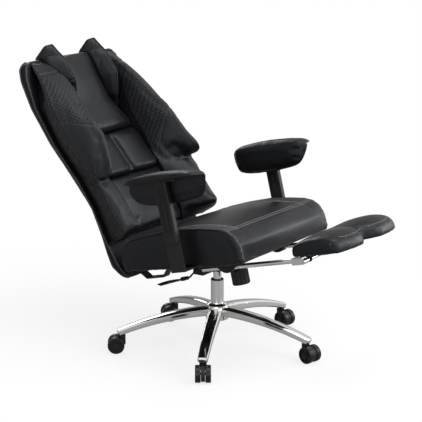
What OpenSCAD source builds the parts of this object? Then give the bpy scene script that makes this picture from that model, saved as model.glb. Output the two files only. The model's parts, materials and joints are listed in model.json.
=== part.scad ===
/* [Base] */
// Radius from the column axis to a caster stem
base_r = 325; // [290:1:350]
// Turn of the first arm of the star about the column, in degrees
base_turn = -9.2; // [-36:0.1:36]
// Width of a base arm at the hub
star_root_w = 48; // [44:1:54]
// Height of a base arm at the hub
star_root_h = 34; // [30:1:38]
// Width of a base arm at its tip
star_tip_w = 33; // [30:1:40]
// Height of a base arm at its tip
star_tip_h = 22; // [20:1:25]
// Radius of the arch that an arm follows
star_arch_r = 1000; // [900:10:1100]
// Wall of the cast arms over the channel below them
star_wall = 4.5; // [3.5:0.5:6]
// Outer radius of the hub
hub_r = 38; // [34:1:44]
// Height of the hub
hub_h = 50; // [44:1:56]
// Height of the hub's underside above the floor
hub_z = 102; // [98:1:108]

/* [Casters] */
// Diameter of a caster wheel
wheel_d = 57; // [54:1:60]
// Width of one of the twin wheels
wheel_w = 18; // [16:1:20]
// Thickness of the caster housing between the wheels
caster_web = 13; // [11:1:16]
// Distance of the axle behind the stem
caster_trail = 20; // [16:1:24]
// Diameter of the caster axle
axle_d = 8; // [6:0.5:9]
// Diameter of the caster stem
stem_d = 11; // [10:0.5:12]

/* [Gas lift] */
// Outer diameter of the column tube
column_d = 44; // [42:1:48]
// Wall of the column tube
column_wall = 2; // [1.5:0.25:3]
// Height of the top of the column tube above the floor
column_top = 238; // [228:1:240]
// Diameter of the gas cylinder
cylinder_d = 28; // [26:0.5:30]
// Diameter of the piston rod
piston_rod_d = 10; // [8:0.5:11]

/* [Tilt mechanism] */
// Angle by which the seat is laid back at rest, in degrees
recline = 14; // [10:0.5:16]
// Distance of the tilt pivot in front of the column axis
pivot_lead = 30; // [26:1:34]
// Height of the tilt pivot above the floor
pivot_z = 307; // [305:1:310]
// Diameter of the tilt pivot pin
pivot_d = 12; // [10:0.5:14]
// Inner half width of the mechanism housing
pan_half = 47; // [44:1:50]
// Plate thickness of the mechanism housing
pan_wall = 3; // [2.5:0.5:4]
// Radius of the tilt tension knob
knob_r = 30; // [27:0.5:32]
// Height of the tilt tension knob
knob_h = 48; // [44:1:50]
// Distance of the knob's axis in front of the column axis
knob_lead = 81; // [80:0.5:84]
// Length of the lever's paddle
paddle_l = 128; // [110:1:140]

/* [Seat] */
// Width of the seat cushion between its side seams
seat_w = 520; // [500:1:535]
// Depth of the seat cushion at its side seams
seat_d = 476; // [466:1:480]
// Thickness of the seat cushion
seat_h = 107; // [95:1:112]
// Height of the cushion's underside when level
seat_z = 358; // [357:1:360]
// Thickness of the plywood seat board
board_t = 12; // [10:0.5:12.5]
// Forward bulge of the front face in the middle
front_bulge = 18; // [12:1:20]
// Width of the quilted strip at each side
strip_w = 62; // [50:1:75]

/* [Back] */
// Width of the back shell
back_w = 504; // [490:1:520]
// Height of the back shell from its lower edge
back_h = 774; // [760:1:785]
// Height of the back shell's lower edge when level
back_z = 316; // [312:1:320]
// Rearward reach of the back shell from its lower front edge to its top
back_lean = 296; // [290:1:305]
// Outer half width of the side wings
wing_half = 262; // [255:1:268]
// Inner half width of the side wings, where the middle pads begin
wing_inner = 148; // [140:1:160]
// Half distance between the ridges of the head lobes
lobe_half = 112; // [106:1:118]

/* [Armrests] */
// Half distance between the outer faces of the arm sleeves
arm_half = 323; // [318:1:328]
// Depth of an arm sleeve, front to back
sleeve_w = 48; // [44:1:54]
// Thickness of an arm sleeve
sleeve_t = 20; // [18:0.5:24]
// Length of an arm sleeve
sleeve_h = 192; // [180:1:200]
// Height of the sleeve's lower end when level
sleeve_z = 436; // [430:1:442]
// Distance of the sleeve's axis in front of the column axis
sleeve_lead = 80; // [76:1:84]
// Thickness of the flat steel armrest bracket
bracket_t = 6; // [5:0.5:7]
// Length of an arm pad
arm_pad_l = 310; // [296:1:322]
// Width of an arm pad
arm_pad_w = 70; // [66:1:76]
// Depth of an arm pad's inner flap
arm_pad_h = 111; // [104:1:116]

/* [Footrest] */
// Diameter of the footrest's sliding rods
rod_d = 16; // [14:0.5:17]
// Distance between the axes of the rods
rod_pitch = 300; // [280:1:310]
// Distance of the footrest hinge in front of the column axis
foot_hinge_lead = 443; // [440:1:448]
// Height of the footrest hinge when level
foot_hinge_z = 308; // [307.5:0.5:309]
// Diameter of the footrest hinge bar
hinge_bar_d = 10; // [8:0.5:12]
// Width of the footrest cushion
foot_w = 362; // [350:1:380]
// Length of the footrest cushion
foot_l = 190; // [180:1:194]
// Thickness of the footrest cushion
foot_h = 62; // [54:1:66]
// Depth of the notch in the cushion's front edge
foot_notch = 46; // [42:1:56]

/* [Hidden] */
$fn = 48;
overrun = 1;
running_gap = 0.05;
pad_gap = 0.3;
slide_gap = 0.2;

star_arms = 5;
star_first_angle = 1.7;
star_root_r = 20;
star_root_z = 131;
star_tip_over = 15;
star_tip_flat = 63;
star_rings = 8;
star_sides = 16;
star_square_share = 0.55;
channel_start_r = hub_r + star_wall;
channel_margin = 16;
boss_r = 14;
sleeve_wall = 1.5;
stem_sleeve_h = 19;
collar_h = 6;
collar_r = column_d / 2 + collar_h;
caster_positions = [
    for (k = [0:star_arms - 1])
        let (a = base_turn + k * 360 / star_arms) [base_r * cos(a), base_r * sin(a)]
];
caster_headings = [262, 135, 128, 215, 258];
wheel_r = wheel_d / 2;
wheel_gap = 1;
wheel_round = 3;
wheel_dish = 4;
wheel_rim = 6;
wheel_hub_r = 8;
wheel_spokes = 5;
wheel_spoke_w = 4;
neck_w = 24;
neck_clear = 3;
neck_top = star_tip_flat - neck_clear;
stem_top = star_tip_flat + stem_sleeve_h;

pivot_y = -pivot_lead;
column_bottom = 98;
column_floor = 4;
bushing_l = 90;
bushing_flange = 3;
cylinder_bottom = 134;
cylinder_wall = 2.5;
cylinder_end = 5;
piston_h = 12;
piston_z = 222;
bearing_t = 6;
bearing_r = 16;
pan_z = 282;
pan_h = 12;
pan_front = -40;
pan_rear = 64;
pan_box_l = 40;
pan_box_h = 24;
cheek_r = 16;
tongue_z = 295;
tongue_half = 34;
tongue_front = -114;
boss_wall = 7;
release_d = 8;
release_h = 10;
release_depth = 20;
release_rise = 6;
lock_w = 16;
lock_t = 5;
lock_z = 286;
lever_d = 6;
lever_z = pan_z + pan_h + release_rise + lever_d / 2 + slide_gap;
lever_y = 6;
lever_end = 10;
lever_bend = -100;
lever_low = -148;
lever_drop = 22;
lever_bead_r = 3.2;
yoke_x = -58;
yoke_t = 3;
yoke_pin_d = 3;
lock_in = -24;
paddle_w = 24;
paddle_t = 6;
paddle_start = 158;
paddle_sweep = 17;
paddle_socket_share = 1.2;
paddle_facets = 180;
pin_head_share = 0.75;

cover_t = 1.5;
plate_t = 4;
plate_z = seat_z - board_t - cover_t - plate_t;
plate_half = 92;
plate_front = -150;
plate_rear = 110;
ear_t = 4;
ear_gap = 1.5;
ear_r = 15;
pin_head = 3;
knob_top_z = 272;
knob_wall = 7;
knob_floor = 8;
knob_flutes = 12;
flute_r = 6;
bolt_d = 8;
bolt_head_h = 6;
bolt_head_r = 8;
spring_r = 18;
spring_wire_r = 2;
spring_turns = 5;
spring_steps = 8;
spring_sides = 6;
spring_bottom = knob_top_z - knob_h + knob_floor + spring_wire_r + slide_gap;
spring_l = knob_h - knob_floor - 2 * spring_wire_r;

seat_rear = 186;
seat_half = seat_w / 2;
strip_groove = 5;
strip_depth = 5;
side_puff = 7;
seat_crown = 5;
seat_tuck_share = 0.55;
board_inset = 12;

shell_side_r = 14;
shell_crown = 8;
back_rear = 198;
pad_cols = 8;
shell_front_lip = 3;
pad_depth = 58;
pad_edge = 22;
wing_depth = 184;
wing_tuck = 24;
head_bottom = 798;
lumbar_bottom = 648;
lower_bottom = 452;
upper_wing_bottom = 660;
upper_wing_top = 1078;
lower_wing_bottom = 444;
lobe_bottom = 884;
lobe_top = 1126;
lobe_back_slope = 40;
lobe_back_over = 484;
lumbar_groove = 26;
lobe_depth = 92;
lobe_close_share = 0.8;
lobe_end_share = 0.5;
ridge_half = 0.5;
row_clear = 1;
wing_valley_share = 0.15;

sleeve_y = -sleeve_lead;
bracket_inset = 6;
bracket_w = sleeve_w - 2 * bracket_inset;
bracket_foot_over = 4;
bracket_foot_w = sleeve_w + 2 * bracket_foot_over;
bracket_shoulder_gap = 3;
bracket_shoulder = sleeve_z - bracket_shoulder_gap;
bracket_top = 572;
bracket_leg = 96;
bracket_bolt_d = 8;
button_d = 10;
button_z = 532;
button_out = 2.5;
button_deep = 4.5;
button_in = 1.8;
slot_w = 15;
slot_line = 3;
slot_l = sleeve_h / 2;
slot_z = sleeve_h * 0.45;
slot_round_share = 1 / 2.01;
sleeve_round = sleeve_t / 6;
arm_top_z = 662;
arm_pad_rear = 62;
arm_plate_t = 5;
arm_plate_w = sleeve_t * 1.2;
arm_plate_l = sleeve_w * 2.6;
arm_flap_w = 25;
arm_pad_over = 22;
arm_roll_z = sleeve_z + sleeve_h + arm_plate_t + pad_gap;
arm_stations = 18;

rod_half = rod_pitch / 2;
rod_z = 311.5;
rod_rear = -50;
foot_hinge_y = -foot_hinge_lead;
rod_wall = 1.5;
fork_l = 40;
fork_w = 22;
fork_h = 18;
lug_t = 5;
lug_half = 118;
lug_r = 9;
guide_front = -190;
guide_rear = -120;
guide_w = 30;
guide_bottom = 295;
foot_z = 326;
foot_board_z = 324;
foot_board_t = 10;
foot_board_inset = 14;
foot_rear_over = 21;
foot_puff_share = 1.02;
back_bar_w = 32;
back_bar_t = 5;
back_bar_x = 130;
back_bar_front = 60;
back_bar_level_l = 24;
back_bar_dip_l = 64;
back_bar_dip = 12;
back_bar_knee = 4;
back_bar_shell_in = 18;
back_bar_end_in = 44;
back_bar_end_rise = 86;
bolt_r = 6;
bolt_t = 4;

black = [0.06, 0.06, 0.065];
leather = [0.1, 0.1, 0.105];
steel = [0.75, 0.76, 0.78];
dark_steel = [0.12, 0.12, 0.13];

// Value between a and b at share t
function between(a, b, t) = a + (b - a) * t;

// Middle of a ring of points
function ring_middle(ring) = [for (k = [0:2]) ring_total(ring, k) / len(ring)];

// Total of one coordinate round a ring
function ring_total(ring, k, i = 0) = i == len(ring) ? 0 : ring[i][k] + ring_total(ring, k, i + 1);

// Closed skin through rings of equal count, which run anticlockwise about the way the loft goes
module loft(rings) {
    n = len(rings[0]);
    m = len(rings);
    points = concat([for (ring = rings) each ring], [ring_middle(rings[0]), ring_middle(rings[m - 1])]);
    sides = [
        for (i = [0:m - 2], j = [0:n - 1])
            let (a = i * n + j, b = i * n + (j + 1) % n)
            each [[a, b + n, b], [a, a + n, b + n]]
    ];
    first_end = [for (j = [0:n - 1]) [m * n, j, (j + 1) % n]];
    last_end = [for (j = [0:n - 1]) [m * n + 1, (m - 1) * n + (j + 1) % n, (m - 1) * n + j]];
    polyhedron(points, concat(sides, first_end, last_end), convexity = 6);
}

// Point of a rounded-square ring of width w and height h at angle a
function square_round(a, w, h, share) = [
    w / 2 * sign(cos(a)) * pow(abs(cos(a)), share),
    h / 2 * sign(sin(a)) * pow(abs(sin(a)), share)
];

// Rectangle with round corners, built from true arcs
module rounded_rect(w, h, r) {
    square([w - 2 * r, h], center = true);
    square([w, h - 2 * r], center = true);
    for (x = [-1, 1], y = [-1, 1]) {
        translate([x * (w / 2 - r), y * (h / 2 - r)])
            circle(r);
    }
}

// Box centred in x and y that stands on z = 0
module block(size) {
    translate([-size[0] / 2, -size[1] / 2, 0])
        cube(size);
}

// Cylinder that runs along x, centred
module cross_cylinder(r, l) {
    rotate([0, 90, 0])
        cylinder(r = r, h = l, center = true);
}

// Cylinder that runs along y from y0 to y1
module long_cylinder(r, y0, y1) {
    translate([0, y1, 0])
        rotate([90, 0, 0])
            cylinder(r = r, h = y1 - y0);
}

// Lays the level seat group back about the tilt pivot
module laid_back() {
    translate([0, pivot_y, pivot_z])
        rotate([-recline, 0, 0])
            translate([0, -pivot_y, -pivot_z])
                children();
}

// Puts a piece of the sitter's left side, or its mirror image on the right
module on_side(side) {
    mirror([side < 0 ? 1 : 0, 0, 0])
        children();
}

// Height of a base arm's centre line at radius r
function star_slope(r) = asin(sin(star_first_angle) + (r - star_root_r) / star_arch_r);
function star_centre_z(r) = star_root_z + star_arch_r * (cos(star_slope(r)) - cos(star_first_angle));
function star_share(r) = (r - star_root_r) / (base_r + star_tip_over - star_root_r);
function star_w(r) = between(star_root_w, star_tip_w, star_share(r));
function star_h(r) = between(star_root_h, star_tip_h, star_share(r));

// Ring across a base arm at radius r, inset by a wall, with its lower half pushed down by deep
function star_ring(r, inset, deep) = [
    for (j = [0:star_sides - 1])
        let (
            a = j * 360 / star_sides,
            p = square_round(a, star_w(r) - 2 * inset, star_h(r) - 2 * inset, star_square_share),
            drop = p[1] < 0 ? deep : 0,
            s = star_slope(r)
        )
        [r + (p[1] - drop) * sin(s), p[0], star_centre_z(r) + (p[1] - drop) * cos(s)]
];

// One arm of the star: an arched, tapered casting with rounded shoulders
module star_arm() {
    last = base_r + star_tip_over;
    loft(concat(
        [for (i = [0:star_rings]) star_ring(between(star_root_r, last - star_wall, i / star_rings), 0, 0)],
        [star_ring(last, star_wall, 0)]
    ));
}

// Channel under an arm, open below, that stops short of the tip's boss
module star_channel() {
    last = base_r - boss_r - star_wall;
    loft([
        for (i = [0:star_rings])
            star_ring(between(channel_start_r, last, i / star_rings), star_wall, channel_margin)
    ]);
}

module base_star() {
    color(steel)
    difference() {
        union() {
            translate([0, 0, hub_z])
                cylinder(r = hub_r, h = hub_h);
            translate([0, 0, hub_z + hub_h])
                cylinder(r1 = hub_r - star_wall, r2 = collar_r - star_wall / 2, h = collar_h);
            for (k = [0:star_arms - 1]) {
                rotate([0, 0, base_turn + k * 360 / star_arms])
                    star_arm();
            }
        }
        for (k = [0:star_arms - 1]) {
            rotate([0, 0, base_turn + k * 360 / star_arms])
                star_channel();
        }
        translate([0, 0, hub_z - hub_h])
            cylinder(r = column_d / 2, h = 3 * hub_h);
        difference() {
            cylinder(r = 2 * base_r, h = star_tip_flat);
            translate([0, 0, -overrun])
                cylinder(r = base_r - 2 * boss_r, h = star_tip_flat + 2 * overrun);
        }
        for (p = caster_positions) {
            translate([p[0], p[1], 0])
                cylinder(r = stem_d / 2 + running_gap + sleeve_wall, h = stem_top + overrun);
        }
    }
}

module stem_sleeves() {
    color(dark_steel)
    for (p = caster_positions) {
        translate([p[0], p[1], stem_top - stem_sleeve_h])
            difference() {
                cylinder(r = stem_d / 2 + running_gap + sleeve_wall, h = stem_sleeve_h);
                translate([0, 0, -overrun])
                    cylinder(r = stem_d / 2 + running_gap, h = stem_sleeve_h + 2 * overrun);
            }
    }
}

module column_tube() {
    color(steel)
    difference() {
        translate([0, 0, column_bottom])
            cylinder(r = column_d / 2, h = column_top - column_bottom);
        translate([0, 0, column_bottom + column_floor])
            cylinder(r = column_d / 2 - column_wall, h = column_top - column_bottom);
        translate([0, 0, column_bottom - overrun])
            cylinder(r = piston_rod_d / 2 + running_gap, h = column_floor + 2 * overrun);
    }
}

module guide_bushing() {
    color(black)
    difference() {
        union() {
            translate([0, 0, column_top - bushing_l])
                cylinder(r = column_d / 2 - column_wall, h = bushing_l);
            translate([0, 0, column_top])
                cylinder(r = column_d / 2 - column_wall / 2, h = bushing_flange);
        }
        translate([0, 0, column_top - bushing_l - overrun])
            cylinder(r = cylinder_d / 2 + running_gap, h = bushing_l + bushing_flange + 2 * overrun);
    }
}

module piston_rod() {
    color(steel) {
        translate([0, 0, column_bottom])
            cylinder(r = piston_rod_d / 2, h = piston_z - column_bottom);
        translate([0, 0, piston_z])
            cylinder(r = cylinder_d / 2 - cylinder_wall - running_gap, h = piston_h);
    }
}

module thrust_bearing() {
    color(steel)
    translate([0, 0, column_bottom + column_floor + running_gap])
        difference() {
            cylinder(r = bearing_r, h = bearing_t);
            translate([0, 0, -overrun])
                cylinder(r = piston_rod_d / 2, h = bearing_t + 2 * overrun);
        }
}

// Moves a caster piece to caster k with its wheels trailing along that caster's heading
module at_caster(k) {
    translate([caster_positions[k][0], caster_positions[k][1], 0])
        rotate([0, 0, caster_headings[k]])
            children();
}

// Housing with its stem at the origin, its wheels trailing along +x and its axle along y
module caster_housing() {
    axle_l = caster_web + 2 * wheel_gap + 2 * wheel_w - wheel_dish;
    color(black)
    difference() {
        union() {
            translate([0, 0, wheel_r])
                cylinder(r = stem_d / 2, h = stem_top - wheel_r);
            translate([0, 0, wheel_r])
                cylinder(r = neck_w / 2, h = neck_top - wheel_r);
            translate([0, 0, wheel_r])
                block([neck_w, caster_web, neck_top - wheel_r]);
            translate([caster_trail, caster_web / 2, wheel_r])
                rotate([90, 0, 0])
                    cylinder(r = wheel_r - wheel_rim / 2, h = caster_web);
            translate([caster_trail, 0, wheel_r])
                rotate([90, 0, 0])
                    cylinder(r = axle_d / 2, h = axle_l, center = true);
        }
        for (side = [-1, 1]) {
            translate([caster_trail, side * (caster_web / 2 + wheel_w + wheel_gap / 2), wheel_r])
                rotate([90, 0, 0])
                    difference() {
                        cylinder(r = wheel_r + wheel_gap, h = 2 * wheel_w + wheel_gap, center = true);
                        cylinder(r = axle_d / 2, h = 3 * wheel_w, center = true);
                    }
        }
    }
}

// Twin wheel on one side: a tread round a dished face with spokes
module caster_wheel(side) {
    color(black)
    translate([caster_trail, side * (caster_web / 2 + wheel_gap), wheel_r])
        rotate([-side * 90, 0, 0])
            difference() {
                union() {
                    cylinder(r = wheel_r - wheel_round, h = wheel_w);
                    translate([0, 0, wheel_round])
                        cylinder(r = wheel_r, h = wheel_w - 2 * wheel_round);
                    for (z = [wheel_round, wheel_w - wheel_round]) {
                        translate([0, 0, z])
                            rotate_extrude()
                                translate([wheel_r - wheel_round, 0])
                                    circle(wheel_round);
                    }
                }
                translate([0, 0, -overrun])
                    cylinder(r = axle_d / 2 + running_gap, h = wheel_w + 2 * overrun);
                difference() {
                    translate([0, 0, wheel_w - wheel_dish])
                        cylinder(r = wheel_r - wheel_rim, h = wheel_dish + overrun);
                    translate([0, 0, wheel_w - 2 * wheel_dish])
                        cylinder(r = wheel_hub_r, h = 2 * wheel_dish);
                    for (k = [0:wheel_spokes - 1]) {
                        rotate([0, 0, k * 360 / wheel_spokes])
                            translate([0, -wheel_spoke_w / 2, wheel_w - 2 * wheel_dish])
                                cube([wheel_r, wheel_spoke_w, 2 * wheel_dish - overrun]);
                    }
                }
            }
}

module gas_cylinder() {
    pocket_z = pan_z + pan_h - release_depth;
    color(steel)
    difference() {
        translate([0, 0, cylinder_bottom])
            cylinder(r = cylinder_d / 2, h = pan_z + pan_h - cylinder_bottom);
        translate([0, 0, cylinder_bottom + cylinder_end])
            cylinder(r = cylinder_d / 2 - cylinder_wall, h = pocket_z - cylinder_bottom - 2 * cylinder_end);
        translate([0, 0, cylinder_bottom - overrun])
            cylinder(r = piston_rod_d / 2 + running_gap, h = cylinder_end + 2 * overrun);
        translate([0, 0, pocket_z])
            cylinder(r = release_d / 2 + running_gap, h = release_depth + overrun);
    }
}

// Pan of the mechanism: floor, two cheeks that carry the pivot, a boss for the cylinder and a front tongue
module mechanism_housing() {
    color(dark_steel)
    difference() {
        union() {
            translate([-pan_half - pan_wall, pan_front, pan_z])
                cube([2 * (pan_half + pan_wall), pan_rear - pan_front, pan_wall]);
            for (side = [-1, 1]) {
                translate([side * (pan_half + pan_wall / 2), 0, 0]) {
                    translate([-pan_wall / 2, pan_front, pan_z])
                        cube([pan_wall, pan_rear - pan_front, pan_h]);
                    translate([0, pivot_y, pivot_z])
                        cross_cylinder(cheek_r, pan_wall);
                }
            }
            translate([-pan_half - pan_wall, pan_rear - pan_box_l, pan_z - pan_box_h])
                cube([2 * (pan_half + pan_wall), pan_box_l, pan_box_h + overrun]);
            translate([-pan_half - pan_wall, pan_rear - pan_wall, pan_z])
                cube([2 * (pan_half + pan_wall), pan_wall, pan_h - pan_wall]);
            translate([0, 0, pan_z])
                cylinder(r = cylinder_d / 2 + boss_wall, h = pan_h);
            translate([-pan_half, pan_front, pan_z])
                cube([2 * pan_half, pan_wall, tongue_z - pan_z]);
            translate([-tongue_half, tongue_front, tongue_z])
                cube([2 * tongue_half, pan_front - tongue_front + pan_wall, pan_wall]);
        }
        translate([0, 0, pan_z - overrun])
            cylinder(r = cylinder_d / 2, h = pan_h + 2 * overrun);
        translate([0, pivot_y, pivot_z])
            cross_cylinder(pivot_d / 2 + running_gap, 3 * pan_half);
        translate([-pan_half, pan_rear - pan_box_l + pan_wall, pan_z - pan_box_h + pan_wall])
            cube([2 * pan_half, pan_box_l - 2 * pan_wall, pan_box_h + pan_wall]);
        translate([0, -knob_lead, tongue_z - overrun])
            block([bolt_d * 1.5, bolt_d * 3, pan_wall + 2 * overrun]);
        translate([-pan_half - pan_wall - overrun, lever_y - lock_w / 2 - slide_gap, lock_z - slide_gap])
            cube([pan_wall + 2 * overrun, lock_w + 2 * slide_gap, pan_h]);
    }
}

module tilt_pivot_pin() {
    color(steel)
    translate([0, pivot_y, pivot_z]) {
        cross_cylinder(pivot_d / 2, 2 * (pan_half + pan_wall + ear_gap + ear_t + pin_head));
        for (side = [-1, 1]) {
            translate([side * (pan_half + pan_wall + ear_gap + ear_t + slide_gap + pin_head / 2), 0, 0])
                cross_cylinder(pivot_d * pin_head_share, pin_head);
        }
    }
}

module release_pin() {
    color(dark_steel)
    translate([0, 0, pan_z + pan_h - release_h])
        cylinder(r = release_d / 2, h = release_h + release_rise);
}

// Slide bar of the tilt lock, which also carries the lever in a yoke outside the housing
module tilt_lock_slider() {
    color(dark_steel)
    translate([0, lever_y, 0]) {
        translate([yoke_x - yoke_t, -lock_w / 2, lock_z])
            cube([lock_in - yoke_x + yoke_t, lock_w, lock_t]);
        for (side = [-1, 1]) {
            translate([yoke_x, side * (lever_d / 2 + running_gap + yoke_t / 2 + slide_gap), lock_z]) {
                translate([-lever_d / 2, -yoke_t / 2, 0])
                    cube([lever_d, yoke_t, lever_z - lock_z]);
                translate([0, 0, lever_z - lock_z])
                    rotate([90, 0, 0])
                        cylinder(r = lever_d / 2, h = yoke_t, center = true);
            }
        }
        translate([yoke_x, 0, lever_z])
            rotate([90, 0, 0])
                cylinder(r = yoke_pin_d / 2, h = lever_d + 2 * yoke_t, center = true);
    }
}

// Round rod between two points of one plane across the chair
module cross_rod(x0, z0, x1, z1, r) {
    translate([x0, 0, z0])
        rotate([0, 90 - atan2(z1 - z0, x1 - x0), 0])
            cylinder(r = r, h = norm([x1 - x0, z1 - z0]));
}

module lever_rod() {
    color(dark_steel)
    translate([0, lever_y, 0])
        difference() {
            union() {
                cross_rod(lever_end, lever_z, lever_bend, lever_z, lever_d / 2);
                cross_rod(lever_bend, lever_z, lever_low, lever_z - lever_drop, lever_d / 2);
                cross_rod(lever_low, lever_z - lever_drop, -paddle_start, lever_z - lever_drop, lever_d / 2);
                translate([lever_bend, 0, lever_z])
                    sphere(lever_bead_r);
                translate([lever_low, 0, lever_z - lever_drop])
                    sphere(lever_bead_r);
            }
            translate([yoke_x, 0, lever_z])
                rotate([90, 0, 0])
                    cylinder(r = yoke_pin_d / 2 + running_gap, h = lever_d + 2 * overrun, center = true);
        }
}

// Paddle: a socket over the rod that fans out into a flat grip with a thumb rise
module lever_paddle() {
    crown_r = 2 * paddle_l + paddle_t / 2;
    color(black)
    translate([-paddle_start, lever_y, lever_z - lever_drop])
        rotate([0, 0, -paddle_sweep])
        difference() {
            union() {
                rotate([0, -90, 0])
                    cylinder(r1 = lever_d, r2 = lever_d * paddle_socket_share, h = paddle_w);
                translate([-paddle_w, 0, 0])
                    sphere(lever_d * paddle_socket_share);
                intersection() {
                    translate([-paddle_l, 0, -paddle_t / 2])
                        linear_extrude(paddle_t)
                            polygon([
                                [0, -paddle_w / 2], [paddle_l - paddle_w, -paddle_t / 2],
                                [paddle_l - paddle_w, paddle_t / 2], [0, paddle_w / 2]
                            ]);
                    translate([-paddle_l / 2, 0, -2 * paddle_l])
                        rotate([90, 0, 0])
                            cylinder(r = crown_r, h = 2 * paddle_w, center = true, $fn = paddle_facets);
                }
            }
            translate([overrun, 0, 0])
                rotate([0, -90, 0])
                    cylinder(r = lever_d / 2, h = paddle_w + overrun);
        }
}

// Steel plate under the seat with two ears that reach down to the tilt pivot
module tilt_plate() {
    color(dark_steel)
    laid_back()
        difference() {
            union() {
                translate([-plate_half, plate_front, plate_z])
                    cube([2 * plate_half, plate_rear - plate_front, plate_t]);
                for (side = [-1, 1]) {
                    translate([side * (pan_half + pan_wall + ear_gap + ear_t / 2), pivot_y, pivot_z]) {
                        cross_cylinder(ear_r, ear_t);
                        translate([-ear_t / 2, -ear_r, 0])
                            cube([ear_t, 2 * ear_r, plate_z - pivot_z + overrun]);
                    }
                }
            }
            translate([0, pivot_y, pivot_z])
                cross_cylinder(pivot_d / 2 + running_gap, 3 * pan_half);
            translate([0, -knob_lead, plate_z - overrun])
                cylinder(r = bolt_d / 2 + slide_gap, h = plate_t + 2 * overrun);
        }
}

module tension_bolt() {
    color(steel)
    laid_back()
        translate([0, -knob_lead, 0]) {
            translate([0, 0, knob_top_z - knob_h])
                cylinder(r = bolt_d / 2, h = plate_z + plate_t - knob_top_z + knob_h);
            translate([0, 0, plate_z - bolt_head_h])
                cylinder(r = bolt_head_r, h = bolt_head_h);
        }
}

// Ring across the spring wire at step i of its helix
function spring_ring(i) = [
    for (j = [0:spring_sides - 1])
        let (
            a = i * 360 / spring_steps,
            b = -j * 360 / spring_sides,
            r = spring_r + spring_wire_r * cos(b),
            rise = i / (spring_turns * spring_steps)
        )
        [
            r * cos(a),
            r * sin(a),
            spring_bottom + rise * spring_l + spring_wire_r * sin(b)
        ]
];

module tension_spring() {
    color(steel)
    laid_back()
        translate([0, -knob_lead, 0])
            loft([for (i = [0:spring_turns * spring_steps]) spring_ring(i)]);
}

// Fluted cup that holds the spring and turns on the bolt
module tension_knob() {
    color(black)
    laid_back()
        translate([0, -knob_lead, knob_top_z - knob_h])
            difference() {
                union() {
                    cylinder(r1 = knob_r - knob_wall / 2, r2 = knob_r, h = knob_wall / 2);
                    translate([0, 0, knob_wall / 2])
                        cylinder(r = knob_r, h = knob_h - knob_wall / 2);
                }
                translate([0, 0, knob_floor])
                    cylinder(r = knob_r - knob_wall, h = knob_h);
                translate([0, 0, -overrun])
                    cylinder(r = bolt_d / 2 + running_gap, h = knob_h);
                for (k = [0:knob_flutes - 1]) {
                    rotate([0, 0, k * 360 / knob_flutes])
                        translate([knob_r + flute_r / 2, 0, -overrun])
                            cylinder(r = flute_r, h = knob_h + 2 * overrun);
                }
            }
}

// Outline of the seat's side panel from the lower rear corner over the top to the lower front corner,
// as shares of its depth from the rear and of its thickness, with the skirt round the board below zero
seat_outline_shares = [
    [0.015, -0.09], [0.0, 0.2], [0.012, 0.5], [0.045, 0.7], [0.1, 0.84], [0.235, 0.92], [0.41, 0.985],
    [0.565, 1], [0.725, 0.95], [0.85, 0.87], [0.918, 0.77], [0.964, 0.6], [0.992, 0.33], [1, -0.1],
    [0.99, -0.22], [0.8, -0.2], [0.6, -0.18], [0.4, -0.155], [0.2, -0.125]
];

// How far the top of a share along the seat counts as its front face
function front_share(p) = max(0, (p[0] - 0.8) / 0.2) * sin((p[1] + 0.22) / 1.22 * 180);

// Ring across the seat at x, drawn in towards its middle by a scale and lowered on top by a groove
function seat_ring(x, scale, groove) = [
    for (p = seat_outline_shares)
        let (
            u = min(1, abs(x) / seat_half),
            y = seat_rear - seat_d * between(seat_tuck_share, p[0], scale),
            z = seat_z + seat_h * between(p[1] > 0 ? 0.5 : p[1], p[1], scale),
            lift = p[1] > 0.55 ? seat_crown * (1 - u * u) * sin(p[0] * 180) - groove : 0,
            push = front_bulge * (1 - pow(u, 4)) * front_share(p)
        )
        [x, y - push, z + lift]
];

// Outline of the seat board and of the pocket for it, grown by a gap
module board_outline(grow) {
    w = seat_w - 2 * board_inset + 2 * grow;
    l = seat_d - 2 * board_inset + 2 * grow;
    translate([0, seat_rear - seat_d / 2])
        rounded_rect(w, l, 3 * board_inset + grow);
}

// Arm bracket's place in the skirt of the cushion
module bracket_notch(side) {
    translate([side * seat_half, sleeve_y, seat_z - board_t - cover_t - seat_h])
        block([6 * board_inset, bracket_foot_w + 2 * pad_gap, seat_h + pad_gap]);
}

module seat_cushion() {
    color(leather)
    laid_back()
        difference() {
            seat_form();
            translate([0, 0, seat_z - seat_h])
                linear_extrude(seat_h)
                    board_outline(pad_gap);
            bracket_notch(-1);
            bracket_notch(1);
        }
}

// Seat form: flat puffed sides, a quilted strip along each side and a sewn groove beside the smooth middle
module seat_form() {
    strip = seat_half - strip_w;
    half = [
        [0, 1, 0], [strip / 2, 1, 0], [strip - strip_groove, 1, 0], [strip, 1, strip_depth],
        [strip + strip_groove, 1, 0], [seat_half - strip_w / 3, 1, -strip_groove / 2], [seat_half, 1, 0],
        [seat_half + side_puff * 0.8, 0.8, 0], [seat_half + side_puff, 0.5, 0]
    ];
    loft(concat(
        [for (i = [len(half) - 1:-1:1]) seat_ring(-half[i][0], half[i][1], half[i][2])],
        [for (h = half) seat_ring(h[0], h[1], h[2])]
    ));
}

module seat_board() {
    color([0.6, 0.48, 0.33])
    laid_back()
        translate([0, 0, seat_z - board_t])
            linear_extrude(board_t)
                board_outline(0);
}

// Dust cover stretched over the underside of the board
module seat_cover() {
    color(black)
    laid_back()
        translate([0, 0, seat_z - board_t - cover_t])
            linear_extrude(cover_t)
                board_outline(-board_inset / 2);
}

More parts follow.
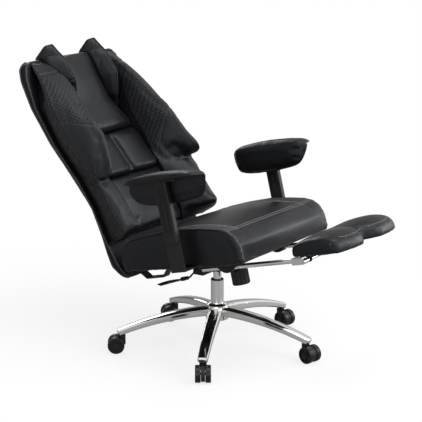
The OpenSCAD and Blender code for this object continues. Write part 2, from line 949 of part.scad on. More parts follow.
// Moulded guides that the footrest rods slide through, with an arched underside
module rod_guides() {
    top = seat_z - board_t - cover_t;
    guide_l = guide_rear - guide_front;
    arch_r = guide_l / 2;
    color(black)
    laid_back()
        for (side = [-1, 1]) {
            translate([side * rod_half, 0, 0])
                difference() {
                    union() {
                        translate([0, (guide_front + guide_rear) / 2, rod_z])
                            block([guide_w, guide_l, top - rod_z]);
                        intersection() {
                            translate([0, (guide_front + guide_rear) / 2, guide_bottom])
                                block([guide_w, guide_l, rod_z - guide_bottom + overrun]);
                            translate([0, (guide_front + guide_rear) / 2, guide_bottom + arch_r])
                                cross_cylinder(arch_r, guide_w);
                        }
                    }
                    translate([0, 0, rod_z])
                        long_cylinder(rod_d / 2 + running_gap, guide_front - overrun, guide_rear + overrun);
                }
        }
}

// Flat steel arm bracket: a leg under the seat board and an upright inside the sleeve
module arm_bracket(side) {
    top = seat_z - board_t - cover_t;
    mid_x = arm_half - sleeve_t / 2;
    color(dark_steel)
    laid_back()
        on_side(side)
            difference() {
                union() {
                    translate([mid_x - bracket_t / 2, sleeve_y - bracket_w / 2, top - bracket_t])
                        cube([bracket_t, bracket_w, bracket_top - top + bracket_t]);
                    translate([mid_x - bracket_t / 2, sleeve_y - bracket_foot_w / 2, top - bracket_t])
                        cube([bracket_t, bracket_foot_w, bracket_shoulder - top + bracket_t]);
                    translate([bracket_leg, sleeve_y - bracket_foot_w / 2, top - bracket_t])
                        cube([mid_x - bracket_leg, bracket_foot_w, bracket_t]);
                }
                for (x = [bracket_leg + 2 * bracket_bolt_d, seat_half - 6 * bracket_bolt_d]) {
                    translate([x, sleeve_y, top - bracket_t - overrun])
                        cylinder(r = bracket_bolt_d / 2, h = bracket_t + 2 * overrun);
                }
            }
}

// Points along the middle of a back bar, level, as [y, z]
bar_path = [
    [back_bar_front, seat_z - board_t - cover_t - back_bar_t / 2],
    [back_bar_front + back_bar_level_l, seat_z - board_t - cover_t - back_bar_t / 2],
    [back_bar_front + back_bar_dip_l, rod_z - back_bar_dip],
    [back_rear - back_bar_knee, rod_z - back_bar_dip],
    [back_rear + back_bar_shell_in, back_z + back_bar_knee],
    [back_rear + back_bar_end_in, back_z + back_bar_end_rise]
];

// Unit normal of the stretch of a back bar from p to q
function bar_normal(p, q) = [p[1] - q[1], q[0] - p[0]] / norm(q - p);

// Mitred corner i of a back bar's side at a distance from its middle
function bar_corner(i, away) =
    let (
        last = len(bar_path) - 1,
        before = bar_normal(bar_path[max(i, 1) - 1], bar_path[max(i, 1)]),
        after = bar_normal(bar_path[min(i, last - 1)], bar_path[min(i, last - 1) + 1]),
        m = before + after
    )
    bar_path[i] + 2 * away * m / (m * m);

// Flat bar bent from under the seat down and up into the back shell
module bar_shape(grow) {
    last = len(bar_path) - 1;
    away = back_bar_t / 2 + grow;
    rotate([90, 0, 90])
        linear_extrude(back_bar_w + 2 * grow, center = true)
            polygon(concat(
                [for (i = [0:last]) bar_corner(i, -away)],
                [for (i = [last:-1:0]) bar_corner(i, away)]
            ));
}

module back_bar(side) {
    color(dark_steel)
    laid_back()
        translate([side * back_bar_x, 0, 0])
            bar_shape(0);
}

module frame_bolts() {
    under_leg = seat_z - board_t - cover_t - bracket_t;
    under_bar = seat_z - board_t - cover_t - back_bar_t;
    color(steel)
    laid_back() {
        for (side = [-1, 1]) {
            for (x = [bracket_leg + 2 * bracket_bolt_d, seat_half - 6 * bracket_bolt_d]) {
                translate([side * x, sleeve_y, under_leg - bolt_t])
                    cylinder(r = bolt_r, h = bolt_t);
            }
            translate([side * back_bar_x, back_bar_front + 2 * bolt_r, under_bar - bolt_t])
                cylinder(r = bolt_r, h = bolt_t);
            for (y = [plate_front + 2 * bolt_r, plate_rear - 2 * bolt_r]) {
                translate([side * (plate_half - 2 * bolt_r), y, plate_z - bolt_t])
                    cylinder(r = bolt_r, h = bolt_t);
            }
        }
    }
}

// Profiles of the back, level: share of its height, then share of its rearward lean
back_front_shares = [
    [0, 0.017], [0.079, 0.071], [0.203, 0.186], [0.326, 0.264], [0.45, 0.392],
    [0.623, 0.632], [0.784, 0.784], [0.885, 0.818], [0.972, 0.838], [1, 0.845]
];
back_rear_shares = [
    [0, 0.1], [0.012, 0.135], [0.07, 0.21], [0.204, 0.257], [0.327, 0.311], [0.453, 0.486],
    [0.627, 0.726], [0.79, 0.902], [0.906, 0.97], [0.978, 1], [1, 0.985]
];
// Half width of the back shell: share of its height, then share of its half width
back_width_shares = [
    [0, 0.84], [0.02, 0.93], [0.06, 0.985], [0.12, 1], [0.92, 1], [0.965, 0.97], [0.99, 0.9], [1, 0.82]
];
function back_share(z) = (z - back_z) / back_h;
function back_front(z) = back_rear + back_lean * lookup(back_share(z), back_front_shares);
function back_behind(z) = back_rear + back_lean * lookup(back_share(z), back_rear_shares);

// Numbers in rising order
function sorted(list) =
    len(list) < 2 ? list :
    let (first = list[0])
    concat(
        sorted([for (n = list) if (n < first) n]), [first],
        sorted([for (n = list) if (n > first) n])
    );

// Heights of a pad's rows: its ends, rows near them that round it, and every bend of the shell between
function pad_levels(z0, z1, edge) = sorted(concat(
    [z0, z0 + edge * 0.3, z0 + edge, z1 - edge, z1 - edge * 0.3, z1],
    [
        for (p = back_front_shares)
            let (z = back_z + back_h * p[0])
            if (z > z0 + 0.1 * edge && z < z1 - 0.1 * edge) z
    ]
));

// Ring across the back shell at height z
function shell_ring(z) =
    let (
        w = back_w / 2 * lookup(back_share(z), back_width_shares),
        f = back_front(z),
        r = back_behind(z)
    )
    [
        [w, f, z], [w, max(f + shell_front_lip, r - shell_side_r), z], [w - shell_side_r, r, z],
        [w / 2, r + 0.8 * shell_crown, z], [0, r + shell_crown, z], [-w / 2, r + 0.8 * shell_crown, z],
        [-w + shell_side_r, r, z], [-w, max(f + shell_front_lip, r - shell_side_r), z], [-w, f, z],
        [-w / 2, f, z], [0, f, z], [w / 2, f, z]
    ];

module back_shell() {
    levels = sorted(concat(
        [for (p = back_front_shares) p[0]],
        [for (p = back_rear_shares) p[0]],
        [for (p = back_width_shares) p[0]]
    ));
    color(black)
    laid_back()
        difference() {
            loft([for (s = levels) shell_ring(back_z + back_h * s)]);
            for (side = [-1, 1]) {
                translate([side * back_bar_x, 0, 0])
                    bar_shape(slide_gap);
            }
        }
}

// Ring of a pad on the back's front at height z, from x0 to x1 with depths d0 and d1 at its sides
function pad_ring(z, x0, x1, d0, d1, crown, tuck) = concat(
    [
        for (j = [0:pad_cols])
            let (u = j / pad_cols)
            [
                between(x0, x1, u),
                back_front(z) - pad_gap - between(d0, d1, u) - crown * pow(sin(180 * u), 0.45),
                z
            ]
    ],
    [
        [x1 - tuck * 0.7, back_front(z) - pad_gap - d1 / 2, z],
        [x1 - tuck, back_front(z) - pad_gap, z],
        [between(x0, x1 - tuck, 0.5), back_front(z) - pad_gap, z],
        [x0, back_front(z) - pad_gap, z]
    ]
);

// Fullness of a pad from its lower edge to its upper: share of height, then share of depth
pad_shares = [[0, 0.45], [0.06, 0.78], [0.18, 0.95], [0.5, 1], [0.82, 0.95], [0.94, 0.78], [1, 0.45]];
head_shares = [[0, 0.45], [0.04, 0.8], [0.12, 1], [0.4, 1], [0.7, 0.82], [0.9, 0.6], [1, 0.3]];
// Wings: share of their height, then depths of the ridge and of the piped edge and the ridge's place across
upper_wing_shares = [
    [0, 0.55, 0.5, 1], [0.025, 0.79, 0.52, 0.98], [0.06, 0.88, 0.45, 0.9], [0.112, 0.93, 0.424, 0.8],
    [0.206, 0.946, 0.413, 0.63], [0.344, 1, 0.4, 0.48], [0.467, 0.935, 0.386, 0.456], [0.646, 0.77, 0.39, 0.28],
    [0.75, 0.65, 0.32, 0.2], [0.849, 0.49, 0.22, 0.14], [0.938, 0.27, 0.09, 0.12], [0.975, 0.15, 0.06, 0.12],
    [1, 0.05, 0.03, 0.12]
];
// Outer edge of a wing: share of its height, then share of its full width
upper_wing_out_shares = [[0, 1], [0.646, 1], [0.7, 0.956], [0.849, 0.763], [0.938, 0.658], [1, 0.6]];
lower_wing_out_shares = [[0, 1], [1, 1]];
lower_wing_shares = [
    [0, 0.1, 0.1, 0.7], [0.05, 0.3, 0.3, 0.7], [0.107, 0.55, 0.5, 0.7], [0.163, 0.71, 0.57, 0.68],
    [0.237, 0.78, 0.55, 0.675], [0.437, 0.68, 0.478, 0.675], [0.637, 0.647, 0.473, 0.675],
    [0.833, 0.64, 0.5, 0.675], [0.95, 0.61, 0.46, 0.675], [1, 0.5, 0.36, 0.675]
];
// Half width of the head pad between the lobes: share of the back's height, then share of the wings' inner edge
head_width_shares = [[0, 1], [0.715, 1], [0.74, 0.9], [0.79, 0.64], [0.86, 0.56], [1, 0.54]];
lobe_shares = [
    [0, 0.2], [0.1, 0.52], [0.2, 0.78], [0.28, 0.92], [0.42, 1],
    [0.62, 0.92], [0.8, 0.62], [0.9, 0.42], [1, 0.2]
];

function head_half(z) = wing_inner * lookup(back_share(z), head_width_shares);

module head_cushion() {
    top = back_z + back_h - pad_gap;
    color(leather)
    laid_back()
        loft([
            for (z = pad_levels(head_bottom + pad_gap, top, pad_edge))
                let (
                    d = pad_depth * lookup((z - head_bottom) / (top - head_bottom), head_shares),
                    w = head_half(z) - pad_gap
                )
                pad_ring(z, -w, w, d * 0.55, d * 0.55, d * 0.45, 0)
        ]);
}

// Lumbar pad: two upright channels either side of a sewn groove
module lumbar_cushion() {
    w = wing_inner - pad_gap;
    color(leather)
    laid_back()
        loft([
            for (z = pad_levels(lumbar_bottom + pad_gap, head_bottom - pad_gap, pad_edge))
                let (
                    d = pad_depth * lookup((z - lumbar_bottom) / (head_bottom - lumbar_bottom), pad_shares),
                    g = min(lumbar_groove, d * 0.45),
                    y = back_front(z) - pad_gap
                )
                concat(
                    [
                        for (j = [-pad_cols:pad_cols])
                            let (u = j / pad_cols)
                            [w * u, y - d + g * (1 - pow(abs(sin(180 * u)), 0.45)), z]
                    ],
                    [[w, y, z], [0, y, z], [-w, y, z]]
                )
        ]);
}

module lower_cushion() {
    w = wing_inner - pad_gap;
    color(leather)
    laid_back()
        loft([
            for (z = pad_levels(lower_bottom, lumbar_bottom - pad_gap, pad_edge))
                let (d = pad_depth * lookup((z - lower_bottom) / (lumbar_bottom - lower_bottom), pad_shares))
                pad_ring(z, -w, w, d * 0.55, d * 0.55, d * 0.45, 0)
        ]);
}

// Value k of a list of shares at v
function wing_value(shares, v, k) = lookup(v, [for (p = shares) [p[0], p[k]]]);

// Ring across a wing at height z: steep inner face, soft ridge, outer face down to the piping, drawn-in side
function wing_ring(z, ridge, pipe, across, out) =
    let (
        f = back_front(z) - pad_gap,
        x0 = wing_inner + pad_gap,
        xr = between(x0, wing_half, min(max(across, 0.1), 0.93)),
        xo = between(x0, wing_half, out),
        valley = min(ridge * 0.8, wing_depth * wing_valley_share)
    )
    [
        [x0, f - valley, z],
        [between(x0, xr, 0.35), f - between(valley, ridge, 0.5), z],
        [between(x0, xr, 0.75), f - between(valley, ridge, 0.9), z],
        [xr, f - ridge, z],
        [between(xr, xo, 0.35), f - between(ridge, pipe, 0.14), z],
        [between(xr, xo, 0.75), f - between(ridge, pipe, 0.55), z],
        [xo, f - pipe, z],
        [xo - wing_tuck * 0.5, f - pipe * 0.6, z],
        [xo - wing_tuck, f - pipe * 0.2, z],
        [xo - wing_tuck, f, z],
        [between(x0, xo - wing_tuck, 0.5), f, z],
        [x0, f, z]
    ];

// Side wing between two heights of the back
module wing(side, z0, z1, shares, out_shares) {
    color(leather)
    laid_back()
        on_side(side)
            loft([
                for (z = wing_levels(z0, z1, shares))
                    let (v = (z - z0) / (z1 - z0))
                    wing_ring(
                        z,
                        wing_depth * wing_value(shares, v, 1),
                        wing_depth * wing_value(shares, v, 2),
                        wing_value(shares, v, 3),
                        lookup(v, out_shares)
                    )
            ]);
}

module upper_wing(side) {
    wing(side, upper_wing_bottom, upper_wing_top, upper_wing_shares, upper_wing_out_shares);
}

module lower_wing(side) {
    wing(side, lower_wing_bottom, upper_wing_bottom - row_clear, lower_wing_shares, lower_wing_out_shares);
}

// Heights of a wing's rows: its own stations and every bend of the shell between them
function wing_levels(z0, z1, shares) = sorted(concat(
    [for (p = shares) between(z0, z1, p[0])],
    [
        for (p = back_front_shares)
            let (z = back_z + back_h * p[0])
            if (z > z0 + row_clear && z < z1 - row_clear) z
    ]
));

// Heights of a lobe's rows, with a step where it passes over the shell's top
function lobe_levels(top) = [
    for (z = sorted(concat(pad_levels(lobe_bottom, lobe_top, pad_edge), [top + pad_gap, top + 2 * pad_gap])))
        if (z <= top - row_clear || z > top) z
];

// Rear face of a lobe at height z: on the shell's front, then out over its top
function lobe_back(z, top) =
    z > top + 1.5 * pad_gap
        ? lobe_back_over - lobe_back_slope * (z - top) / (lobe_top - top)
        : back_front(z) - pad_gap;

// Head lobe: a leaf-shaped fin with its piped ridge in front, which rises over the shell's top
module head_lobe(side) {
    top = back_z + back_h;
    color(leather)
    laid_back()
        on_side(side)
            loft([
                for (z = lobe_levels(top))
                    let (
                        v = (z - lobe_bottom) / (lobe_top - lobe_bottom),
                        back = lobe_back(z, top),
                        d = lobe_depth * lookup(v, lobe_shares),
                        front = back_front(z) - d,
                        shut = 1 - max(0, v - lobe_close_share) * lobe_end_share / (1 - lobe_close_share),
                        x0 = between(lobe_half, head_half(z) + pad_gap, shut),
                        x1 = between(lobe_half, wing_inner - pad_gap, shut),
                        ridge = min(max(lobe_half, x0 + 2 * ridge_half), x1 - 2 * ridge_half)
                    )
                    [
                        [x0, back - (back - front) * 0.35, z],
                        [between(x0, ridge, 0.5), front + (back - front) * 0.25, z],
                        [ridge - ridge_half, front, z],
                        [ridge + ridge_half, front, z],
                        [between(ridge, x1, 0.5), front + (back - front) * 0.3, z],
                        [x1, back - (back - front) * 0.35, z],
                        [x1, back, z],
                        [between(x0, x1, 0.5), back, z],
                        [x0, back, z]
                    ]
            ]);
}

module arm_sleeve(side) {
    mid_x = arm_half - sleeve_t / 2;
    slot_in = slot_w - slot_line;
    color(black)
    laid_back()
        on_side(side)
            difference() {
                union() {
                    translate([mid_x, sleeve_y, sleeve_z])
                        linear_extrude(sleeve_h)
                            rounded_rect(sleeve_t, sleeve_w, sleeve_round);
                    translate([mid_x, sleeve_y, sleeve_z + sleeve_h])
                        linear_extrude(arm_plate_t)
                            rounded_rect(arm_plate_w, arm_plate_l, sleeve_t / 4);
                }
                translate([mid_x, sleeve_y, sleeve_z - overrun])
                    block([bracket_t + 2 * slide_gap, bracket_w + 2 * slide_gap, sleeve_h - arm_plate_t]);
                translate([arm_half - sleeve_t, sleeve_y, button_z])
                    rotate([0, 90, 0])
                        cylinder(r = button_d / 2 + running_gap, h = 2 * button_deep, center = true);
                translate([arm_half, sleeve_y, sleeve_z + slot_z])
                    rotate([90, 0, 90])
                        linear_extrude(overrun * 2, center = true)
                            difference() {
                                rounded_rect(slot_w, slot_l, slot_w * slot_round_share);
                                rounded_rect(slot_in, slot_l - slot_line, slot_in * slot_round_share);
                            }
            }
}

module arm_button(side) {
    color(steel)
    laid_back()
        on_side(side)
            translate([arm_half - sleeve_t - button_out, sleeve_y, button_z])
                rotate([0, 90, 0])
                    cylinder(r = button_d / 2, h = button_out + button_in);
}

// Top of an arm pad and lower edge of its flap: share of its length from the rear, then drop as share of depth
arm_top_shares = [
    [0, 0.245], [0.05, 0.12], [0.12, 0.05], [0.3, 0.01], [0.5, 0],
    [0.75, 0.04], [0.9, 0.1], [0.97, 0.17], [1, 0.22]
];
arm_flap_shares = [
    [0, 0.5], [0.03, 0.72], [0.07, 0.86], [0.17, 0.95], [0.35, 1], [0.6, 0.99], [0.8, 0.93],
    [0.9, 0.84], [0.95, 0.65], [0.98, 0.45], [1, 0.3]
];

// Ring across an arm pad at share s of its length: a thin roll over a deep padded inner flap
function arm_ring(s) =
    let (
        y = arm_pad_rear - arm_pad_l * s,
        top = arm_top_z - arm_pad_h * lookup(s, arm_top_shares),
        low = min(arm_top_z - arm_pad_h * lookup(s, arm_flap_shares), arm_roll_z),
        close = min(1, 0.35 + 8 * s, 0.35 + 8 * (1 - s)),
        in_x = arm_half + arm_pad_over - arm_pad_w,
        mid_x = in_x + arm_pad_w / 2,
        w = arm_pad_w * close,
        i = mid_x - w / 2,
        o = mid_x + w / 2,
        f = i + arm_flap_w * close,
        t = top - arm_roll_z
    )
    [
        [mid_x, y, top], [mid_x + w * 0.3, y, top - t * 0.05], [o - w * 0.04, y, top - t * 0.3],
        [o, y, top - t * 0.6], [o - w * 0.05, y, arm_roll_z + t * 0.06], [o - w * 0.1, y, arm_roll_z],
        [f, y, arm_roll_z], [f, y, between(arm_roll_z, low, 0.12)],
        [f, y, between(arm_roll_z, low, 0.6)], [f - w * 0.1, y, between(arm_roll_z, low, 0.95)],
        [between(i, f, 0.45), y, low], [i + w * 0.05, y, between(arm_roll_z, low, 0.88)],
        [i, y, between(arm_roll_z, low, 0.5)], [i, y, arm_roll_z + t * 0.1],
        [i + w * 0.05, y, top - t * 0.35], [i + w * 0.2, y, top - t * 0.06]
    ];

module arm_pad(side) {
    color(leather)
    laid_back()
        on_side(side)
            loft([for (i = [arm_stations:-1:0]) arm_ring(arm_station(i / arm_stations))]);
}

// Stations bunched towards the two ends of an arm pad
function arm_station(s) = (1 - cos(180 * s)) / 2;

module footrest_frame() {
    color(steel)
    laid_back()
        difference() {
            union() {
                for (side = [-1, 1]) {
                    translate([side * rod_half, 0, rod_z])
                        long_cylinder(rod_d / 2, foot_hinge_y, rod_rear);
                    translate([side * rod_half, foot_hinge_y, foot_hinge_z])
                        cross_cylinder(fork_h / 2, fork_w);
                    translate([side * rod_half, foot_hinge_y + fork_l / 2, foot_hinge_z - fork_h / 2])
                        block([fork_w, fork_l, rod_z - foot_hinge_z + fork_h]);
                }
                translate([0, foot_hinge_y, foot_hinge_z])
                    cross_cylinder(hinge_bar_d / 2, rod_pitch);
            }
            for (side = [-1, 1]) {
                translate([side * rod_half, 0, rod_z])
                    long_cylinder(rod_d / 2 - rod_wall, foot_hinge_y + fork_l, rod_rear + overrun);
            }
        }
}

// Outline of the footrest board and of the pocket for it, grown by a gap
module foot_board_outline(grow) {
    front = foot_hinge_y + foot_rear_over - foot_l + foot_notch + foot_board_inset;
    rear = foot_hinge_y + foot_rear_over - foot_board_inset;
    w = foot_w - 2 * foot_board_inset + 2 * grow;
    translate([0, (front + rear) / 2])
        rounded_rect(w, rear - front + 2 * grow, foot_board_inset + grow);
}

// Board under the footrest cushion with the two lugs that turn on the hinge bar
module footrest_board() {
    color(black)
    laid_back()
        difference() {
            union() {
                translate([0, 0, foot_board_z])
                    linear_extrude(foot_board_t)
                        foot_board_outline(0);
                for (side = [-1, 1]) {
                    translate([side * lug_half, foot_hinge_y, foot_hinge_z]) {
                        cross_cylinder(lug_r, lug_t);
                        translate([-lug_t / 2, -lug_r, 0])
                            cube([lug_t, 2 * lug_r, foot_board_z - foot_hinge_z + overrun]);
                    }
                }
            }
            translate([0, foot_hinge_y, foot_hinge_z])
                cross_cylinder(hinge_bar_d / 2 + running_gap, foot_w);
        }
}

// Side outline of the footrest cushion: share of its length from the hinge, then share of its height
foot_outline_shares = [
    [0.02, 0], [0, 0.2], [0, 0.48], [0.035, 0.68], [0.12, 0.8], [0.25, 0.9], [0.42, 0.97], [0.6, 1],
    [0.75, 0.96], [0.87, 0.85], [0.95, 0.65], [0.99, 0.4], [1, 0.15], [0.985, 0], [0.75, 0], [0.5, 0], [0.25, 0]
];
// Across the footrest cushion: share of its half width, then share of notch depth, height and length
foot_notch_shares = [[0, 1], [0.08, 0.9], [0.16, 0.5], [0.26, 0.12], [0.34, 0], [1, 0]];
foot_height_shares = [[0, 0.86], [0.1, 0.88], [0.3, 0.96], [0.55, 1], [0.8, 0.97], [0.94, 0.9], [1, 0.8]];
foot_length_shares = [[0, 1], [0.55, 1], [0.8, 0.97], [0.94, 0.93], [1, 0.9]];
foot_station_shares = [0, 0.08, 0.16, 0.26, 0.34, 0.55, 0.75, 0.86, 0.94, 1];

function foot_ring(s, scale) =
    let (
        u = abs(s),
        l = foot_l * lookup(u, foot_length_shares) - foot_notch * lookup(u, foot_notch_shares),
        h = foot_h * lookup(u, foot_height_shares)
    )
    [
        for (p = foot_outline_shares)
            [
                foot_w / 2 * s,
                foot_hinge_y + foot_rear_over - l * between(0.5, p[0], scale),
                foot_z + h * (p[1] > 0 ? between(0.4, p[1], scale) : 0)
            ]
    ];

module footrest_cushion() {
    count = len(foot_station_shares);
    color(leather)
    laid_back()
        difference() {
            loft(concat(
                [foot_ring(-foot_puff_share, 0.75)],
                [for (i = [count - 1:-1:1]) foot_ring(-foot_station_shares[i], 1)],
                [for (s = foot_station_shares) foot_ring(s, 1)],
                [foot_ring(foot_puff_share, 0.75)]
            ));
            translate([0, 0, foot_board_z])
                linear_extrude(foot_board_t)
                    foot_board_outline(pad_gap);
        }
}

base_star();
stem_sleeves();
column_tube();
guide_bushing();
at_caster(0) caster_housing();  // caster_1_housing
at_caster(0) caster_wheel(1);  // caster_1_wheel_left
at_caster(0) caster_wheel(-1);  // caster_1_wheel_right
at_caster(1) caster_housing();  // caster_2_housing
at_caster(1) caster_wheel(1);  // caster_2_wheel_left
at_caster(1) caster_wheel(-1);  // caster_2_wheel_right
at_caster(2) caster_housing();  // caster_3_housing
at_caster(2) caster_wheel(1);  // caster_3_wheel_left
at_caster(2) caster_wheel(-1);  // caster_3_wheel_right
at_caster(3) caster_housing();  // caster_4_housing
at_caster(3) caster_wheel(1);  // caster_4_wheel_left
at_caster(3) caster_wheel(-1);  // caster_4_wheel_right
at_caster(4) caster_housing();  // caster_5_housing
at_caster(4) caster_wheel(1);  // caster_5_wheel_left
at_caster(4) caster_wheel(-1);  // caster_5_wheel_right
piston_rod();
thrust_bearing();
gas_cylinder();
mechanism_housing();
tilt_pivot_pin();
release_pin();
tilt_lock_slider();
lever_rod();
lever_paddle();
tilt_plate();
tension_bolt();
tension_spring();
tension_knob();
seat_board();
seat_cover();
seat_cushion();
rod_guides();
arm_bracket(1);  // arm_bracket_left
arm_bracket(-1);  // arm_bracket_right
back_bar(1);  // back_bar_left
back_bar(-1);  // back_bar_right
frame_bolts();
back_shell();
head_cushion();
lumbar_cushion();
lower_cushion();
head_lobe(1);  // head_lobe_left
head_lobe(-1);  // head_lobe_right
upper_wing(1);  // upper_wing_left
upper_wing(-1);  // upper_wing_right
lower_wing(1);  // lower_wing_left
lower_wing(-1);  // lower_wing_right
arm_sleeve(1);  // arm_sleeve_left
arm_sleeve(-1);  // arm_sleeve_right
arm_pad(1);  // arm_pad_left
arm_pad(-1);  // arm_pad_right
arm_button(1);  // arm_button_left
arm_button(-1);  // arm_button_right
footrest_frame();
footrest_board();
footrest_cushion();
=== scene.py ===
"""Looks of a reclining office chair with a pull-out footrest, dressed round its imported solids."""
import json
import logging
import math
from abc import ABC, abstractmethod
from dataclasses import dataclass
from enum import Enum

import bmesh
import bpy
import numpy as np
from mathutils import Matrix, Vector, noise
from mathutils.bvhtree import BVHTree


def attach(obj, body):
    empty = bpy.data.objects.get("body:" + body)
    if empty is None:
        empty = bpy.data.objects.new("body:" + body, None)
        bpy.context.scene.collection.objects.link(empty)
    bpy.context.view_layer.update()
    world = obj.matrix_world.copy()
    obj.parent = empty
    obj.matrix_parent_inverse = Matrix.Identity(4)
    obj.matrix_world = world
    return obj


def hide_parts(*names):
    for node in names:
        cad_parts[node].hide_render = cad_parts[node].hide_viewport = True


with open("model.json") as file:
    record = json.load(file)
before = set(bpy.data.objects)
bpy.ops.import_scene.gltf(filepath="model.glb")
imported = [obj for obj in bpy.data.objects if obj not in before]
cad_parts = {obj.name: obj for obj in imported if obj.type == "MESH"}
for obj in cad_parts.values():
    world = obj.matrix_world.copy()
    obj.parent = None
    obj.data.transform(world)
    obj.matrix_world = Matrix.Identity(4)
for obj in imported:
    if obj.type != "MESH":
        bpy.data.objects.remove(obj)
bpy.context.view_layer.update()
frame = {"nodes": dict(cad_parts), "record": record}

LOG = logging.getLogger("office_chair")
MM = 0.001
TINY = 1e-9
Piece = bpy.types.Object
Material = bpy.types.Material
Array = np.ndarray
Triple = tuple[float, float, float]
Pair = tuple[float, float]
SIDES = {"left": 1, "right": -1}
QUILT_PITCH = 15 * MM


# ---------------------------------------------------------------- level frame


@dataclass(frozen=True)
class Recline:
    """The turn from the level seat frame to the chair as it stands, laid back about the tilt pivot."""

    degrees: float = 14.0
    pivot_y: float = -0.030
    pivot_z: float = 0.307

    def turn(self, points: Array, sign: float) -> Array:
        """Turns points about the pivot.

        Args:
            points: Rows of x, y, z in metres.
            sign: 1 lays level points back, -1 levels points that are laid back.

        Returns:
            The turned points.
        """
        c, s = math.cos(math.radians(self.degrees)), math.sin(math.radians(self.degrees)) * sign
        p = np.array(points, float).reshape(-1, 3)
        y, z = p[:, 1] - self.pivot_y, p[:, 2] - self.pivot_z
        return np.stack([p[:, 0], self.pivot_y + y * c + z * s, self.pivot_z - y * s + z * c], 1)

    def lay(self, points: Array) -> Array:
        """Level points as they are in the chair."""
        return self.turn(points, 1)

    def level(self, points: Array) -> Array:
        """Points of the chair in the level frame."""
        return self.turn(points, -1)

    def level_directions(self, directions: Array) -> Array:
        """Directions of the chair in the level frame."""
        return self.level(directions) - self.level(np.zeros((1, 3)))


RECLINE = Recline()


# ---------------------------------------------------------------- shader nodes


class Value:
    """A number that flows between shader nodes, with the usual operators."""

    def __init__(self, nodes: "Nodes", socket: bpy.types.NodeSocket) -> None:
        """Wraps an output socket."""
        self.nodes = nodes
        self.socket = socket

    def math(self, operation: str, *others: "Value | float") -> "Value":
        """Result of a Math node on this value and others."""
        inputs = {0: self, **dict(enumerate(others, 1))}
        return self.nodes.add("Math", {"operation": operation}, inputs)

    def __add__(self, other: "Value | float") -> "Value":
        """Sum."""
        return self.math("ADD", other)

    def __sub__(self, other: "Value | float") -> "Value":
        """Difference."""
        return self.math("SUBTRACT", other)

    def __rsub__(self, other: float) -> "Value":
        """Difference from a number."""
        return self.nodes.add("Math", {"operation": "SUBTRACT"}, {0: other, 1: self})

    def __mul__(self, other: "Value | float") -> "Value":
        """Product."""
        return self.math("MULTIPLY", other)

    def __truediv__(self, other: "Value | float") -> "Value":
        """Quotient."""
        return self.math("DIVIDE", other)

    def step(self, low: float, high: float) -> "Value":
        """Smooth step from 0 at low to 1 at high."""
        inputs = {"Value": self, "From Min": low, "From Max": high}
        return self.nodes.add("MapRange", {"interpolation_type": "SMOOTHSTEP"}, inputs)


class Nodes:
    """The nodes of a material or of the world."""

    def __init__(self, tree: bpy.types.NodeTree) -> None:
        """Wraps a node tree."""
        self.tree = tree

    def own(self, kind: str) -> bpy.types.Node:
        """The node of a kind that the tree starts with."""
        return next(node for node in self.tree.nodes if node.type == kind)

    def add(self, kind: str, settings: dict[str, object], inputs: dict[object, object], output: int | str = 0) -> Value:
        """Adds a shader node.

        Args:
            kind: Node type without its ShaderNode prefix.
            settings: Attributes to set first.
            inputs: Socket name or number to a value or a link.
            output: Name or number of the output that is returned.

        Returns:
            The output as a Value.
        """
        node = self.tree.nodes.new("ShaderNode" + kind)
        for key, value in settings.items():
            setattr(node, key, value)
        for key, value in inputs.items():
            self.put(node.inputs[key], value)
        return Value(self, node.outputs[output])

    def put(self, socket: bpy.types.NodeSocket, value: object) -> None:
        """Links or sets a socket.

        Args:
            socket: Input of a node.
            value: A Value to link or a constant to set.
        """
        if isinstance(value, Value):
            self.tree.links.new(value.socket, socket)
        else:
            socket.default_value = value

    def set(self, **sockets: object) -> None:
        """Sets or links the shader's sockets, named with underscores for spaces."""
        for key, value in sockets.items():
            self.put(self.own("BSDF_PRINCIPLED").inputs[key.replace("_", " ")], value)

    def place(self) -> Value:
        """Object coordinates."""
        return self.add("TexCoord", {}, {}, "Object")

    def parts(self, vector: Value) -> list[Value]:
        """The three numbers of a vector."""
        node = self.add("SeparateXYZ", {}, {0: vector}).socket.node
        return [Value(self, output) for output in node.outputs]

    def rays(self, *kinds: str) -> list[Value]:
        """Whether a ray is of each of some kinds."""
        node = self.tree.nodes.new("ShaderNodeLightPath")
        return [Value(self, node.outputs[f"Is {kind} Ray"]) for kind in kinds]

    def noise(self, scale: float, detail: float = 3.0, rough: float = 0.5, where: Value | None = None) -> Value:
        """Noise from 0 to 1."""
        inputs = {"Vector": where or self.place(), "Scale": scale, "Detail": detail, "Roughness": rough}
        return self.add("TexNoise", {}, inputs)

    def colours(self, share: Value, low: tuple[float, ...], high: tuple[float, ...]) -> Value:
        """Mix of two colours by a share."""
        return self.add("Mix", {"data_type": "RGBA"}, {0: share, 6: (*low, 1.0), 7: (*high, 1.0)}, 2)

    def bump(self, height: Value, distance: float, strength: float, below: Value | None = None) -> Value:
        """Bump from a height, over another bump where one is given."""
        inputs = {"Height": height, "Distance": distance, "Strength": strength}
        return self.add("Bump", {}, inputs | ({"Normal": below} if below else {}))


@dataclass(frozen=True)
class Finish(ABC):
    """A named finish that sets up a shader."""

    name: str

    @abstractmethod
    def dress(self, n: Nodes) -> None:
        """Sets the shader."""

    def material(self) -> Material:
        """Builds the material.

        Returns:
            The new material.
        """
        material = bpy.data.materials.new(self.name)
        material.use_nodes = True
        self.dress(Nodes(material.node_tree))
        return material


class Quilt(Enum):
    """Whether a leather carries the diamond quilting of the wings and strips."""

    PLAIN = "plain"
    DIAMOND = "diamond"


